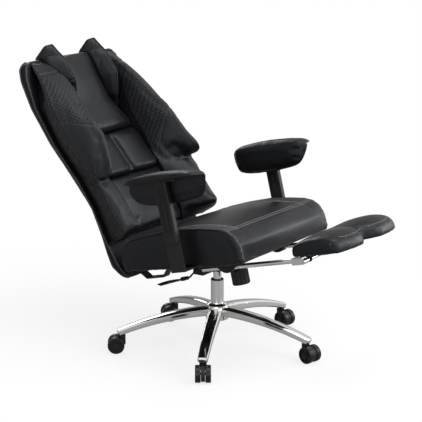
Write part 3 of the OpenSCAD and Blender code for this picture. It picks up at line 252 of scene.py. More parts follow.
@dataclass(frozen=True)
class Leather(Finish):
    """Black grained leather with a soft sheen, worn a little paler on its crowns."""

    deep: Triple = (0.0035, 0.0036, 0.0043)
    worn: Triple = (0.0090, 0.0092, 0.0110)
    roughness: float = 0.37
    gloss: float = 0.29
    tint: Triple = (0.90, 0.94, 1.0)
    pore: float = 1.5 * MM
    pitch: float = QUILT_PITCH
    relief: float = 0.7 * MM
    thread: Triple = (0.02, 0.02, 0.022)
    thread_share: float = 0.4
    quilt: Quilt = Quilt.PLAIN

    def dress(self, n: Nodes) -> None:
        """Sets the shader.

        Args:
            n: Nodes of its material.
        """
        cloud = n.noise(9.0, 4.0)
        creases = n.noise(75.0, 6.0, 0.62)
        grain = n.add("TexVoronoi", {"feature": "DISTANCE_TO_EDGE"}, {"Vector": n.place(), "Scale": 1 / self.pore})
        pores = grain.step(0.0, 0.22)
        edge = n.add("NewGeometry", {}, {}, "Pointiness").step(0.49, 0.60)
        share = cloud.step(0.35, 0.7) * 0.45 + edge * 0.55
        colour = n.colours(share, self.deep, self.worn)
        height = pores * 0.5 + creases * 0.5
        bump = n.bump(height, 0.25 * MM, 0.45)
        rough = cloud * 0.10 + creases * 0.08 - pores * 0.03 + (self.roughness - 0.06)
        if self.quilt is Quilt.DIAMOND:
            u, v, mask = n.parts(n.add("Attribute", {"attribute_name": "quilt"}, {}, "Vector"))
            near = [(line / self.pitch).math("PINGPONG", 0.5) * 2 for line in (u + v, u - v)]
            cell = near[0].math("MINIMUM", near[1])
            pillow = cell.step(0.0, 0.75)
            thread = (1 - cell.step(0.05, 0.16)) * mask
            bump = n.bump(pillow * mask, self.relief, 0.8, bump)
            inputs = {0: thread * self.thread_share, 6: colour, 7: (*self.thread, 1.0)}
            colour = n.add("Mix", {"data_type": "RGBA"}, inputs, 2)
            rough = rough + thread * 0.15
        n.set(Base_Color=colour, Roughness=rough, Normal=bump)
        n.set(Specular_IOR_Level=self.gloss, Specular_Tint=(*self.tint, 1.0))


@dataclass(frozen=True)
class Chrome(Finish):
    """Polished plated metal with faint handling marks."""

    colour: Triple = (0.80, 0.80, 0.79)
    roughness: float = 0.07

    def dress(self, n: Nodes) -> None:
        """Sets the shader.

        Args:
            n: Nodes of its material.
        """
        smear = n.noise(22.0, 3.0)
        scratches = n.noise(400.0, 2.0)
        n.set(
            Base_Color=n.colours(smear, self.colour, tuple(c * 0.93 for c in self.colour)),
            Metallic=1.0,
            Roughness=smear.step(0.45, 0.8) * 0.05 + self.roughness,
            Normal=n.bump(scratches, 0.02 * MM, 0.3),
        )


@dataclass(frozen=True)
class Paint(Finish):
    """Black powder coat or moulded plastic: a fine texture and slightly paler edges."""

    colour: Triple = (0.007, 0.007, 0.008)
    edge: Triple = (0.022, 0.022, 0.024)
    roughness: float = 0.45
    gloss: float = 0.20
    grain: float = 900.0
    depth: float = 0.06 * MM

    def dress(self, n: Nodes) -> None:
        """Sets the shader.

        Args:
            n: Nodes of its material.
        """
        speckle = n.noise(self.grain, 2.0)
        cloud = n.noise(14.0, 3.0)
        worn = n.add("NewGeometry", {}, {}, "Pointiness").step(0.51, 0.60)
        n.set(
            Base_Color=n.colours(worn * 0.8 + cloud * 0.1, self.colour, self.edge),
            Roughness=cloud * 0.12 + (self.roughness - 0.06),
            Normal=n.bump(speckle, self.depth, 0.5),
            Specular_IOR_Level=self.gloss,
        )


@dataclass(frozen=True)
class Plywood(Finish):
    """Plywood with its grain along the seat, darkened all over as painted shade, so that its edges under the seat show
    only as shade.
    """

    def dress(self, n: Nodes) -> None:
        """Sets the shader.

        Args:
            n: Nodes of its material.
        """
        along = n.add("Mapping", {}, {"Vector": n.place(), "Scale": (60.0, 4.0, 60.0)})
        grain = n.noise(2.0, 5.0, 0.6, along)
        n.set(
            # Both grain colours are very dark browns: painted shade standing in for the shade under the seat.
            Base_Color=n.colours(grain.step(0.3, 0.7), (0.03, 0.024, 0.019), (0.06, 0.048, 0.038)),
            Roughness=grain * 0.2 + 0.5,
            Normal=n.bump(grain, 0.1 * MM, 0.4),
        )


@dataclass(frozen=True)
class Felt(Finish):
    """Black dust cloth with a fine open weave."""

    thread: float = 1.1 * MM

    def dress(self, n: Nodes) -> None:
        """Sets the shader.

        Args:
            n: Nodes of its material.
        """
        x, y = ((part / self.thread).math("PINGPONG", 0.5) for part in n.parts(n.place())[:2])
        weave = x.math("MAXIMUM", y) * 2
        n.set(
            Base_Color=n.colours(weave, (0.006, 0.006, 0.006), (0.02, 0.02, 0.021)),
            Roughness=weave * 0.1 + 0.8,
            Normal=n.bump(weave, 0.2 * MM, 0.6),
        )


@dataclass(frozen=True)
class PaleFloor(Finish):
    """A pale studio floor that shows white where no shadow falls."""

    shadow_share: float = 0.22
    dark: Triple = (0.15, 0.15, 0.15)
    pale: Triple = (0.88, 0.88, 0.88)

    def dress(self, n: Nodes) -> None:
        """Sets the shader.

        Args:
            n: Nodes of its material.
        """
        far = n.add("VectorMath", {"operation": "LENGTH"}, {0: n.place()}, "Value")
        direct, shiny, clear = n.rays("Camera", "Glossy", "Transmission")
        white = n.add("Emission", {}, {"Color": (1, 1, 1, 1), "Strength": 1.0})
        share = direct.math("MAXIMUM", clear) * (far.step(0.6, 1.8) * self.shadow_share + (1 - self.shadow_share))
        mirrored = far.step(1.6, 6.0) * (1 - self.shadow_share) + self.shadow_share
        cloud = n.noise(0.7) * 0.1 + 0.9
        n.set(Base_Color=n.colours(direct * cloud, self.dark, self.pale), Roughness=0.55, Specular_IOR_Level=0.2)
        plain = Value(n, n.own("BSDF_PRINCIPLED").outputs[0])
        mixed = n.add("MixShader", {}, {0: share.math("MAXIMUM", shiny * mirrored), 1: plain, 2: white})
        n.put(n.own("OUTPUT_MATERIAL").inputs["Surface"], mixed)


@dataclass(frozen=True)
class Thread(Finish):
    """Twisted sewing thread."""

    colour: Triple = (0.34, 0.34, 0.36)

    def dress(self, n: Nodes) -> None:
        """Sets the shader.

        Args:
            n: Nodes of its material.
        """
        twist = n.noise(1500.0, 1.0)
        n.set(
            Base_Color=n.colours(twist, self.colour, tuple(c * 1.5 for c in self.colour)),
            Roughness=twist * 0.1 + 0.6,
            Normal=n.bump(twist, 0.1 * MM, 0.5),
        )


class Wardrobe:
    """Every finish of the chair, each made once."""

    def __init__(self) -> None:
        """Builds the materials."""
        self.leather = Leather("black_leather").material()
        self.quilted = Leather("quilted_leather", quilt=Quilt.DIAMOND).material()
        self.strips = Leather(
            "strip_leather", relief=1.2 * MM, thread=(0.15, 0.15, 0.16), thread_share=0.6, quilt=Quilt.DIAMOND
        ).material()
        self.shell = Leather("shell_leather", roughness=0.44, gloss=0.2).material()
        self.piping = Leather("piping_leather", (0.004, 0.004, 0.0045), (0.01, 0.01, 0.011), 0.30, 0.25).material()
        # The shell's piping leather is about three times paler than the other leather: a painted sheen standing in for
        # the highlights along the side band's pipings.
        self.shell_piping_painted_sheen = Leather("shell_piping_painted_sheen", (0.012, 0.012, 0.013), (0.03, 0.03, 0.032), 0.30, 0.45).material()
        self.thread = Thread("pale_thread").material()
        self.grey_thread = Thread("grey_thread", (0.07, 0.07, 0.075)).material()
        self.dark_thread = Thread("dark_thread", (0.02, 0.02, 0.022)).material()
        self.chrome = Chrome("polished_chrome").material()
        self.steel = Chrome("plain_steel", (0.5, 0.51, 0.53), 0.28).material()
        self.coat = Paint("powder_coat", roughness=0.42).material()
        black = (0.007, 0.007, 0.008), (0.02, 0.02, 0.022)
        self.plastic = Paint("black_plastic", *black, 0.5, 0.2).material()
        self.gloss = Paint("wheel_plastic", *black, 0.33, 0.3, 1200.0, 0.03 * MM).material()
        self.plywood = Plywood("shade_painted_plywood").material()
        self.felt = Felt("dust_cloth").material()

    def of_slot(self, slot: str) -> Material:
        """The finish for a material slot of the record.

        Args:
            slot: Material slot of the record.

        Returns:
            Its material.
        """
        return {
            "polished_metal": self.chrome, "chrome_rods": self.chrome, "black_steel": self.coat,
            "steel": self.steel, "black_plastic": self.plastic, "black_leather": self.leather,
            "shell_leather": self.shell, "dust_cover": self.felt, "plywood": self.plywood,
        }[slot]


# ---------------------------------------------------------------- mesh tools


def activate(piece: Piece) -> None:
    """Makes a piece the only one selected.

    Args:
        piece: The piece.
    """
    bpy.ops.object.select_all(action="DESELECT")
    piece.select_set(True)
    bpy.context.view_layer.objects.active = piece


def read_points(piece: Piece) -> Array:
    """Vertices of a piece as rows of x, y, z.

    Args:
        piece: The piece.

    Returns:
        One row for each vertex.
    """
    flat = np.empty(len(piece.data.vertices) * 3, np.float32)
    piece.data.vertices.foreach_get("co", flat)
    return flat.reshape(-1, 3).astype(float)


def read_normals(piece: Piece) -> Array:
    """Vertex normals of a piece.

    Args:
        piece: The piece.

    Returns:
        One row for each vertex.
    """
    flat = np.empty(len(piece.data.vertices) * 3, np.float32)
    piece.data.vertex_normals.foreach_get("vector", flat)
    return flat.reshape(-1, 3).astype(float)


def write_points(piece: Piece, points: Array) -> None:
    """Moves the vertices of a piece."""
    piece.data.vertices.foreach_set("co", points.astype(np.float32).ravel())
    piece.data.update()


def swell(piece: Piece, height: Array | float) -> None:
    """Moves each vertex of a piece along its normal."""
    write_points(piece, read_points(piece) + read_normals(piece) * np.reshape(height, (-1, 1)))


def finish_modifier(piece: Piece, kind: str, **settings: object) -> None:
    """Adds a modifier to a piece and applies it.

    Args:
        piece: The piece.
        kind: Type of the modifier.
        settings: Its settings.
    """
    activate(piece)
    modifier = piece.modifiers.new(kind.lower(), kind)
    for key, value in settings.items():
        setattr(modifier, key, value)
    bpy.ops.object.modifier_apply(modifier=modifier.name)


def merge_active(threshold: float) -> None:
    """Merges doubled vertices of the active piece and turns its normals outward.

    Args:
        threshold: Distance below which vertices merge.
    """
    bpy.ops.object.mode_set(mode="EDIT")
    bpy.ops.mesh.select_all(action="SELECT")
    bpy.ops.mesh.remove_doubles(threshold=threshold)
    bpy.ops.mesh.normals_make_consistent(inside=False)
    bpy.ops.object.mode_set(mode="OBJECT")


def copy_solids(name: str, nodes: list[str]) -> Piece:
    """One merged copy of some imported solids.

    Args:
        name: Name of the copy.
        nodes: Names of the solids.

    Returns:
        The copy, without a material.
    """
    copies = []
    for node in nodes:
        copy = frame["nodes"][node].copy()
        copy.data = copy.data.copy()
        copy.parent = None
        for key in list(copy.keys()):
            if key.startswith("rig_"):
                del copy[key]
        bpy.context.scene.collection.objects.link(copy)
        copies.append(copy)
    bpy.ops.object.select_all(action="DESELECT")
    for copy in copies:
        copy.select_set(True)
    bpy.context.view_layer.objects.active = copies[0]
    if len(copies) > 1:
        bpy.ops.object.join()
    piece = bpy.context.view_layer.objects.active
    piece.name = name
    merge_active(0.02 * MM)
    piece.data.materials.clear()
    return piece


def stations(node: str, axis: int) -> list[Array]:
    """Rings of a soft solid in the level frame, gathered by their place along an axis.

    Args:
        node: Name of the solid.
        axis: Number of the axis that its loft runs along.

    Returns:
        The points of each ring, in order along the axis.
    """
    points = RECLINE.level(read_points(frame["nodes"][node]))
    keys = np.round(points[:, axis] / (0.2 * MM)).astype(int)
    rings: list[Array] = []
    for key in sorted(set(keys)):
        ring = np.unique(np.round(points[keys == key], 6), axis=0)
        if rings and ring[0, axis] - rings[-1][0, axis] < 0.4 * MM:
            rings[-1] = np.vstack([rings[-1], ring])
        else:
            rings.append(ring)
    return rings


def resample(line: Array, step: float, smooth: int = 0) -> Array:
    """Points at an even step along a line.

    Args:
        line: Rows of points.
        step: Distance between the new points.
        smooth: Rounds of averaging that take the corners off.

    Returns:
        The new points, with the same two ends.
    """
    line = np.array(line, float)
    for _ in range(2 if smooth else 1):
        gaps = np.linalg.norm(np.diff(line, axis=0), axis=1)
        at = np.concatenate([[0], np.cumsum(gaps)])
        count = max(int(round(at[-1] / step)), 2)
        t = np.linspace(0, at[-1], count + 1)
        line = np.stack([np.interp(t, at, line[:, k]) for k in range(3)], 1)
        for _ in range(smooth):
            line[1:-1] = (line[:-2] + 2 * line[1:-1] + line[2:]) / 4
    return line


@dataclass
class Near:
    """How points lie to a line: the distance, the share along it and the nearest place."""

    distance: Array
    along: Array
    index: Array


def near_line(points: Array, line: Array, block: int = 4000) -> Near:
    """How points lie to a line, worked out a block of points at a time.

    Args:
        points: The points.
        line: Close samples of the line.
        block: Points in a block.

    Returns:
        One entry for each point.
    """
    best = np.full(len(points), np.inf)
    index = np.zeros(len(points), int)
    for start in range(0, len(points), block):
        part = slice(start, start + block)
        d = ((points[part][:, None, :] - line[None, :, :]) ** 2).sum(2)
        index[part] = d.argmin(1)
        best[part] = np.sqrt(d.min(1))
    gaps = np.linalg.norm(np.diff(line, axis=0), axis=1)
    at = np.concatenate([[0], np.cumsum(gaps)])
    return Near(best, at[index], index)


def waves(values: Array, seed: float) -> Array:
    """Uneven ripples from -1 to 1 that repeat about once a unit.

    Args:
        values: Places along the ripples.
        seed: Start of their unevenness.

    Returns:
        The height at each place.
    """
    return (
        np.sin(values * 2 * math.pi + 1.7 * np.sin(values * 1.13 + seed))
        + 0.6 * np.sin(values * 4.27 + 2.1 * seed)
    ) / 1.6


def mount(piece: Piece, material: Material, body: str) -> None:
    """Dresses a new piece and lets it ride on its body.

    Args:
        piece: The piece.
        material: Its finish.
        body: Body that it rides on.
    """
    piece.data.materials.clear()
    piece.data.materials.append(material)
    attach(piece, body)
    LOG.info("%s rides on %s", piece.name, body)


def pipe(
    name: str, line: Array, radius: float, material: Material,
    body: str = "seat",
) -> None:
    """Lays a round cord of leather along a line of the chair.

    Args:
        name: Name of the piece.
        line: Points of its middle.
        radius: Its radius.
        material: Its leather.
        body: Body that it rides on.
    """
    curve = bpy.data.curves.new(name, "CURVE")
    curve.dimensions = "3D"
    curve.bevel_depth = radius
    curve.bevel_resolution = 2
    curve.use_fill_caps = True
    spline = curve.splines.new("POLY")
    spline.points.add(len(line) - 1)
    spline.points.foreach_set("co", np.hstack([line, np.ones((len(line), 1))]).ravel())
    piece = bpy.data.objects.new(name, curve)
    bpy.context.scene.collection.objects.link(piece)
    activate(piece)
    bpy.ops.object.convert(target="MESH")
    merge_active(0.01 * MM)
    bpy.ops.object.shade_smooth()
    mount(bpy.context.view_layer.objects.active, material, body)


class Surface:
    """The skin of a finished piece, for laying seams on it."""

    def __init__(self, piece: Piece) -> None:
        """Builds the search tree."""
        self.tree = BVHTree.FromObject(piece, bpy.context.evaluated_depsgraph_get())

    def find(self, line: Array, lift: float) -> tuple[Array, Array]:
        """Moves a line to the skin.

        Args:
            line: Points near the skin.
            lift: Height over the skin.

        Returns:
            The points on the skin and the skin's normals there.
        """
        found = [self.tree.find_nearest(Vector(p)) for p in line]
        places, normals = (np.array([list(f[k]) for f in found]) for k in (0, 1))
        return places + normals * lift, normals

    def lay(self, line: Array, lift: float) -> Array:
        """Lays a level line on the skin."""
        return self.find(RECLINE.lay(line), lift)[0]


@dataclass(frozen=True)
class Stitch:
    """One kind of visible stitch."""

    length: float = 4.6 * MM
    gap: float = 3.4 * MM
    width: float = 1.2 * MM
    sides: int = 6
    profile: tuple[Pair, ...] = ((0.0, 0.35), (0.25, 1.0), (0.75, 1.0), (1.0, 0.35))

    def add(self, mesh: bmesh.types.BMesh, start: Array, along: Array, up: Array) -> None:
        """Adds one stitch to a mesh.

        Args:
            mesh: The mesh.
            start: Where the stitch starts.
            along: Its direction.
            up: The skin's normal there.
        """
        side = np.cross(up, along)
        side = side / max(np.linalg.norm(side), TINY)
        turns = [k * 2 * math.pi / self.sides for k in range(self.sides)]
        spokes = [side * math.cos(turn) + up * math.sin(turn) for turn in turns]
        rings = []
        for share, size in self.profile:
            middle = start + along * self.length * share
            rings.append([mesh.verts.new(middle + size * self.width / 2 * spoke) for spoke in spokes])
        for low, high in zip(rings[:-1], rings[1:]):
            for k in range(self.sides):
                after = (k + 1) % self.sides
                mesh.faces.new((low[k], low[after], high[after], high[k]))
        mesh.faces.new(rings[0][::-1])
        mesh.faces.new(rings[-1])

    def sew(
        self, name: str, rows: list[Array], skin: Surface, material: Material,
        body: str = "seat", slot: str = "black_leather",
    ) -> None:
        """Sews stitches along level rows of a skin.

        Args:
            name: Name of the piece.
            rows: Level lines near the skin.
            skin: The skin.
            material: Its thread.
            body: Body that it rides on.
            slot: Material slot of the record. Not used.
        """
        mesh = bmesh.new()
        for row in rows:
            places, normals = skin.find(resample(RECLINE.lay(row), self.length + self.gap), self.width * 0.25)
            for a, b, up in zip(places[:-1], places[1:], normals[:-1]):
                reach = np.linalg.norm(b - a)
                if reach >= self.length * 0.5:
                    self.add(mesh, a, (b - a) / reach, up)
        bmesh.ops.recalc_face_normals(mesh, faces=mesh.faces)
        data = bpy.data.meshes.new(name)
        mesh.to_mesh(data)
        mesh.free()
        piece = bpy.data.objects.new(name, data)
        bpy.context.scene.collection.objects.link(piece)
        activate(piece)
        bpy.ops.object.shade_smooth()
        mount(piece, material, body)


# ---------------------------------------------------------------- soft pieces


def smooth_step(values: Array, low: float, high: float) -> Array:
    """Smooth step from 0 at low to 1 at high."""
    t = np.clip((values - low) / (high - low), 0, 1)
    return t * t * (3 - 2 * t)


def bell(distance: Array, width: float) -> Array:
    """1 at no distance, falling to nothing past a width."""
    return np.exp(-((distance / width) ** 2))


def hold(level: Array, line: Array, full: float, free: float) -> Array:
    """How firmly a level line holds a cover: 1 up to one distance from it, 0 beyond another."""
    return 1 - smooth_step(near_line(level, line).distance, full, free)


@dataclass
class Seam:
    """A sewn groove in a cushion, along a level line."""

    line: Array
    depth: float = 1.8 * MM
    width: float = 4 * MM


@dataclass
class Cushion:
    """A padded piece that is remeshed from its solids, blown up by cloth simulation and sewn."""

    name: str
    nodes: list[str]
    voxel: float = 6 * MM
    pressure: float = 4.0
    cap: float = 9 * MM
    shrink: float = 0.6 * MM
    rounding: int = 2
    fill: float = 0.75
    frames: int = 20
    quick_share: float = 0.35

    def __post_init__(self) -> None:
        """Starts from a remeshed and slightly drawn-in copy of the solids."""
        self.piece = copy_solids(self.name, self.nodes)
        finish_modifier(self.piece, "REMESH", mode="VOXEL", voxel_size=self.voxel)
        finish_modifier(self.piece, "SMOOTH", factor=0.5, iterations=self.rounding)
        swell(self.piece, -self.shrink)

    def level(self) -> Array:
        """Its vertices in the level frame."""
        return RECLINE.level(read_points(self.piece))

    def normals(self) -> Array:
        """Its vertices' normals in the level frame."""
        return RECLINE.level_directions(read_normals(self.piece))

    def place(self, level: Array) -> None:
        """Moves its vertices to places in the level frame."""
        write_points(self.piece, RECLINE.lay(level))

    def skin(self) -> Surface:
        """Its surface as it is now."""
        return Surface(self.piece)

    def blow(self, held: Array) -> None:
        """Blows the cover up between what holds it, then subdivides it once.

        Args:
            held: For each vertex, 1 where the cover is held and 0 where it is free.
        """
        self.simulate(held)
        finish_modifier(self.piece, "SMOOTH", factor=0.5, iterations=3)
        finish_modifier(self.piece, "SUBSURF", levels=1, render_levels=1)
        activate(self.piece)
        bpy.ops.object.shade_smooth()

    def simulate(self, held: Array) -> None:
        """Runs the cloth simulation and keeps its moves, up to the cap.

        Args:
            held: How firmly each vertex is held.
        """
        rest = read_points(self.piece)
        group = self.piece.vertex_groups.new(name="held")
        for level in range(1, 11):
            chosen = np.nonzero(np.round(held * 10) == level)[0]
            if len(chosen):
                group.add(chosen.tolist(), level / 10, "REPLACE")
        cloth = self.piece.modifiers.new("cover", "CLOTH")
        cloth.settings.quality = 4
        cloth.settings.mass = 0.4
        cloth.settings.effector_weights.gravity = 0
        cloth.settings.use_pressure = True
        cloth.settings.uniform_pressure_force = self.pressure
        cloth.settings.vertex_group_mass = "held"
        cloth.settings.tension_stiffness = 30
        cloth.settings.compression_stiffness = 30
        cloth.settings.bending_stiffness = 3
        cloth.collision_settings.use_collision = False
        cloth.point_cache.frame_end = self.frames
        scene = bpy.context.scene
        for step in range(1, self.frames + 1):
            scene.frame_set(step)
        move = read_points(self.piece.evaluated_get(bpy.context.evaluated_depsgraph_get())) - rest
        reach = np.linalg.norm(move, axis=1, keepdims=True)
        move *= np.minimum(1, self.cap / np.maximum(reach, TINY))
        self.piece.modifiers.clear()
        self.piece.vertex_groups.clear()
        scene.frame_set(1)
        write_points(self.piece, rest + move)

    def pull_out(self, lines: list[Array], reach: float = 11 * MM) -> None:
        """Pulls the cover out to the level lines of its sewn edges, which remeshing and smoothing draw in.

        Args:
            lines: The edges' lines.
            reach: Distance over which the pull fades.
        """
        for line in lines:
            line = resample(line, 3 * MM)
            level = self.level()
            near = near_line(level, line)
            close = np.nonzero(near.distance < 3 * reach)[0]
            pulls = np.zeros_like(line)
            for k, spot in enumerate(line):
                gaps = spot - level[close]
                pulls[k] = gaps[(gaps ** 2).sum(1).argmin()]
            for _ in range(6):
                pulls[1:-1] = (pulls[:-2] + 2 * pulls[1:-1] + pulls[2:]) / 4
            size = np.linalg.norm(pulls, axis=1)
            beyond = np.maximum(near.distance - size[near.index], 0)
            self.place(level + pulls[near.index] * bell(beyond, reach)[:, None])

    def press_seams(self, seams: list[Seam]) -> None:
        """Presses sewn grooves into the cover.

        Args:
            seams: The grooves.
        """
        level = self.level()
        drop = np.zeros(len(level))
        for seam in seams:
            near = near_line(level, resample(seam.line, 2.5 * MM))
            drop = np.maximum(drop, seam.depth * bell(near.distance, seam.width))
        swell(self.piece, -drop)

    def gather(
        self, line: Array, depth: float, reach: float, pitch: float, seed: float,
        where: Array | float = 1.0,
    ) -> None:
        """Gathers the cover along a line: ripples across it that fade with distance.

        Args:
            line: The level line.
            depth: Height of the ripples.
            reach: Distance over which they fade.
            pitch: Distance between them.
            seed: Start of their unevenness.
            where: Share of them at each vertex.
        """
        near = near_line(self.level(), resample(line, 2.5 * MM))
        fade = bell(near.distance, reach) * (1 - bell(near.distance, reach * 0.12))
        swell(self.piece, depth * fade * waves(near.along / pitch + near.distance / (pitch * 6), seed) * where)

    def crumple(
        self, depth: float, scale: float,
        stretch: Triple = (1, 1, 1), where: Array | float = 1.0,
    ) -> None:
        """Soft uneven folds all over the cover.

        Args:
            depth: Height of the folds.
            scale: Folds to a metre.
            stretch: Share of that along each level axis.
            where: Share of the folds at each vertex.
        """
        level = self.level() * np.array(stretch)
        swell(self.piece, np.array([noise.noise(Vector(p) * scale) for p in level]) * depth * where)

    def quilt(self, u: Array, v: Array, mask: Array, depth: float) -> None:
        """Sews diamonds into a panel and stores their pattern for the leather.

        Args:
            u: Distance across the panel at each vertex.
            v: Distance along it.
            mask: 1 on the panel and 0 elsewhere.
            depth: Depth of the stitched lines.
        """
        attribute = self.piece.data.attributes.new("quilt", "FLOAT_VECTOR", "POINT")
        attribute.data.foreach_set("vector", np.stack([u, v, mask], 1).astype(np.float32).ravel())
        gaps = [2 * np.abs((w / QUILT_PITCH + 0.5) % 1 - 0.5) for w in (u + v, u - v)]
        swell(self.piece, (np.sqrt(np.minimum(*gaps)) - 0.6) * depth * mask)

    def done(self, material: Material, body: str) -> None:
        """Args:
            material: Its leather.
            body: Body that it rides on.
        """
        mount(self.piece, material, body)
        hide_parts(*self.nodes)


@dataclass(frozen=True)
class BackLine:
    """The front line of the back shell, level: share of its height to share of its lean."""

    bottom: float = 0.316
    height: float = 0.774
    rear: float = 0.198
    lean: float = 0.296
    shares: tuple[Pair, ...] = (
        (0, 0.017), (0.079, 0.071), (0.203, 0.186), (0.326, 0.264), (0.45, 0.392),
        (0.623, 0.632), (0.784, 0.784), (0.885, 0.818), (0.972, 0.838), (1, 0.845),
    )

    def front(self, z: Array) -> Array:
        """Place of the shell's front face at level heights."""
        return self.rear + self.lean * np.interp((np.asarray(z) - self.bottom) / self.height, *zip(*self.shares))

    def gap(self, level: Array) -> Array:
        """How far level points stand in front of that face."""
        return self.front(level[:, 2]) - level[:, 1]


BACK = BackLine()


@dataclass
class Seat:
    """The seat cushion with its quilted strips, piping, seams and stitches."""

    finishes: Wardrobe
    rear: float = 0.186
    depth: float = 0.476
    half: float = 0.260
    bottom: float = 0.358
    height: float = 0.107
    bulge: float = 0.018
    crown: float = 0.005
    strip: float = 0.062
    rise: float = 0.22
    grip: float = 7 * MM
    edge: float = 8 * MM
    front_seam: Pair = (0.905, 0.80)
    front_rows: tuple[Pair, ...] = ((0.893, 0.82), (0.914, 0.78))
    outline: tuple[Pair, ...] = (
        (0.015, -0.09), (0.0, 0.2), (0.012, 0.5), (0.045, 0.7), (0.1, 0.84), (0.235, 0.92), (0.41, 0.985),
        (0.565, 1), (0.725, 0.95), (0.85, 0.87), (0.918, 0.77), (0.964, 0.6), (0.992, 0.33), (1, -0.1),
    )

    def point(self, x: float, share: Pair) -> Triple:
        """Level place on the cushion at x and at a share of its outline.

        Args:
            x: Distance from the middle, to the left.
            share: Share of the depth and of the height.

        Returns:
            The level place.
        """
        u = min(1.0, abs(x) / self.half)
        lift = self.crown * (1 - u * u) * math.sin(share[0] * math.pi) if share[1] > 0.55 else 0
        front = max(0.0, (share[0] - 0.8) / 0.2) * math.sin((share[1] + self.rise) / (1 + self.rise) * math.pi)
        return (
            x,
            self.rear - self.depth * share[0] - self.bulge * (1 - u ** 4) * front,
            self.bottom + self.height * share[1] + lift,
        )

    def along(self, x: float, first: int, last: int) -> Array:
        """Line along the outline at x between two of its corners."""
        return resample(np.array([self.point(x, self.outline[k]) for k in range(first, last + 1)]), 3 * MM, 3)

    def across(self, share: Pair, half: float) -> Array:
        """Line across the cushion at a share of its outline."""
        return np.array([self.point(x, share) for x in np.linspace(-half, half, 60)])

    def held(self, level: Array, seams: list[Seam]) -> Array:
        """Where the cover is held: at its seams, under the board and in the notches of the arm brackets.

        Args:
            level: Level vertices.
            seams: The seams.

        Returns:
            1 where it is held and 0 where it is free.
        """
        held = np.zeros(len(level))
        for seam in seams:
            held = np.maximum(held, hold(level, resample(seam.line, 4 * MM), 0.3 * self.grip, 1.6 * self.grip))
        reach = np.abs(level[:, 0])
        held = np.maximum(held, 1 - smooth_step(level[:, 2], 0.350, 0.362))
        held = np.maximum(held, (reach > self.half + 1 * MM) * 0.8)
        return np.maximum(held, (np.abs(level[:, 1] + 0.080) < 0.034) & (level[:, 2] < 0.40) & (reach > 0.225))

    def quilted(self, level: Array) -> Array:
        """1 on the two quilted strips and 0 elsewhere.

        Args:
            level: Level vertices.

        Returns:
            The share at each vertex.
        """
        reach, strip = np.abs(level[:, 0]), self.half - self.strip
        top = smooth_step(level[:, 2], self.bottom + 0.6 * self.height, self.bottom + 0.75 * self.height)
        inner = smooth_step(reach, strip + 2 * MM, strip + 6 * MM)
        outer = 1 - smooth_step(reach, self.half - 8 * MM, self.half - 4 * MM)
        behind = smooth_step(level[:, 1], self.rear - 0.90 * self.depth, self.rear - 0.885 * self.depth)
        return top * inner * outer * behind

    def build(self) -> None:
        """Makes the cushion and what is sewn on it."""
        cushion = Cushion("seat_pad", ["seat_cushion"], cap=7 * MM, pressure=3.0)
        sides = [self.along(s * self.half, 0, 13) for s in (-1, 1)]
        strips = [self.along(s * (self.half - self.strip), 3, 10) for s in (-1, 1)]
        front = self.across(self.front_seam, self.half)
        seams = [Seam(line) for line in sides + strips + [front]]
        cushion.blow(self.held(cushion.level(), seams))
        cushion.pull_out(sides)
        cushion.press_seams(seams)
        level = cushion.level()
        mask = self.quilted(level)
        cushion.quilt(level[:, 0], level[:, 1], mask, 1.3 * MM)
        for k, line in enumerate(sides):
            cushion.gather(line, depth=0.5 * MM, reach=24 * MM, pitch=28 * MM, seed=1.0 + k)
        cushion.gather(front, depth=0.3 * MM, reach=30 * MM, pitch=44 * MM, seed=4.0)
        cushion.crumple(depth=1.6 * MM, scale=7.0, stretch=(1, 1.3, 1), where=1 - mask)
        cushion.done(self.finishes.strips, "seat")
        self.trim(cushion.skin(), sides, strips)

    def trim(self, skin: Surface, sides: list[Array], strips: list[Array]) -> None:
        """Lays the piping and sews the visible stitches.

        Args:
            skin: The cushion's skin.
            sides: Lines of the two side seams.
            strips: Lines of the strips' inner seams.
        """
        for name, line in zip(("right", "left"), sides):
            pipe(f"seat_piping_{name}", skin.lay(line, 0.6 * MM), 2.6 * MM, self.finishes.piping)
        inner = self.half - self.edge
        rows = [line + np.array([shift, 0, 0]) for line in strips for shift in (-4 * MM, 4 * MM)]
        rows += [self.across(share, inner) for share in self.front_rows]
        rows += [self.along(s * inner, 10, 13) for s in (-1, 1)]
        Stitch().sew("seat_stitches", rows, skin, self.finishes.thread)


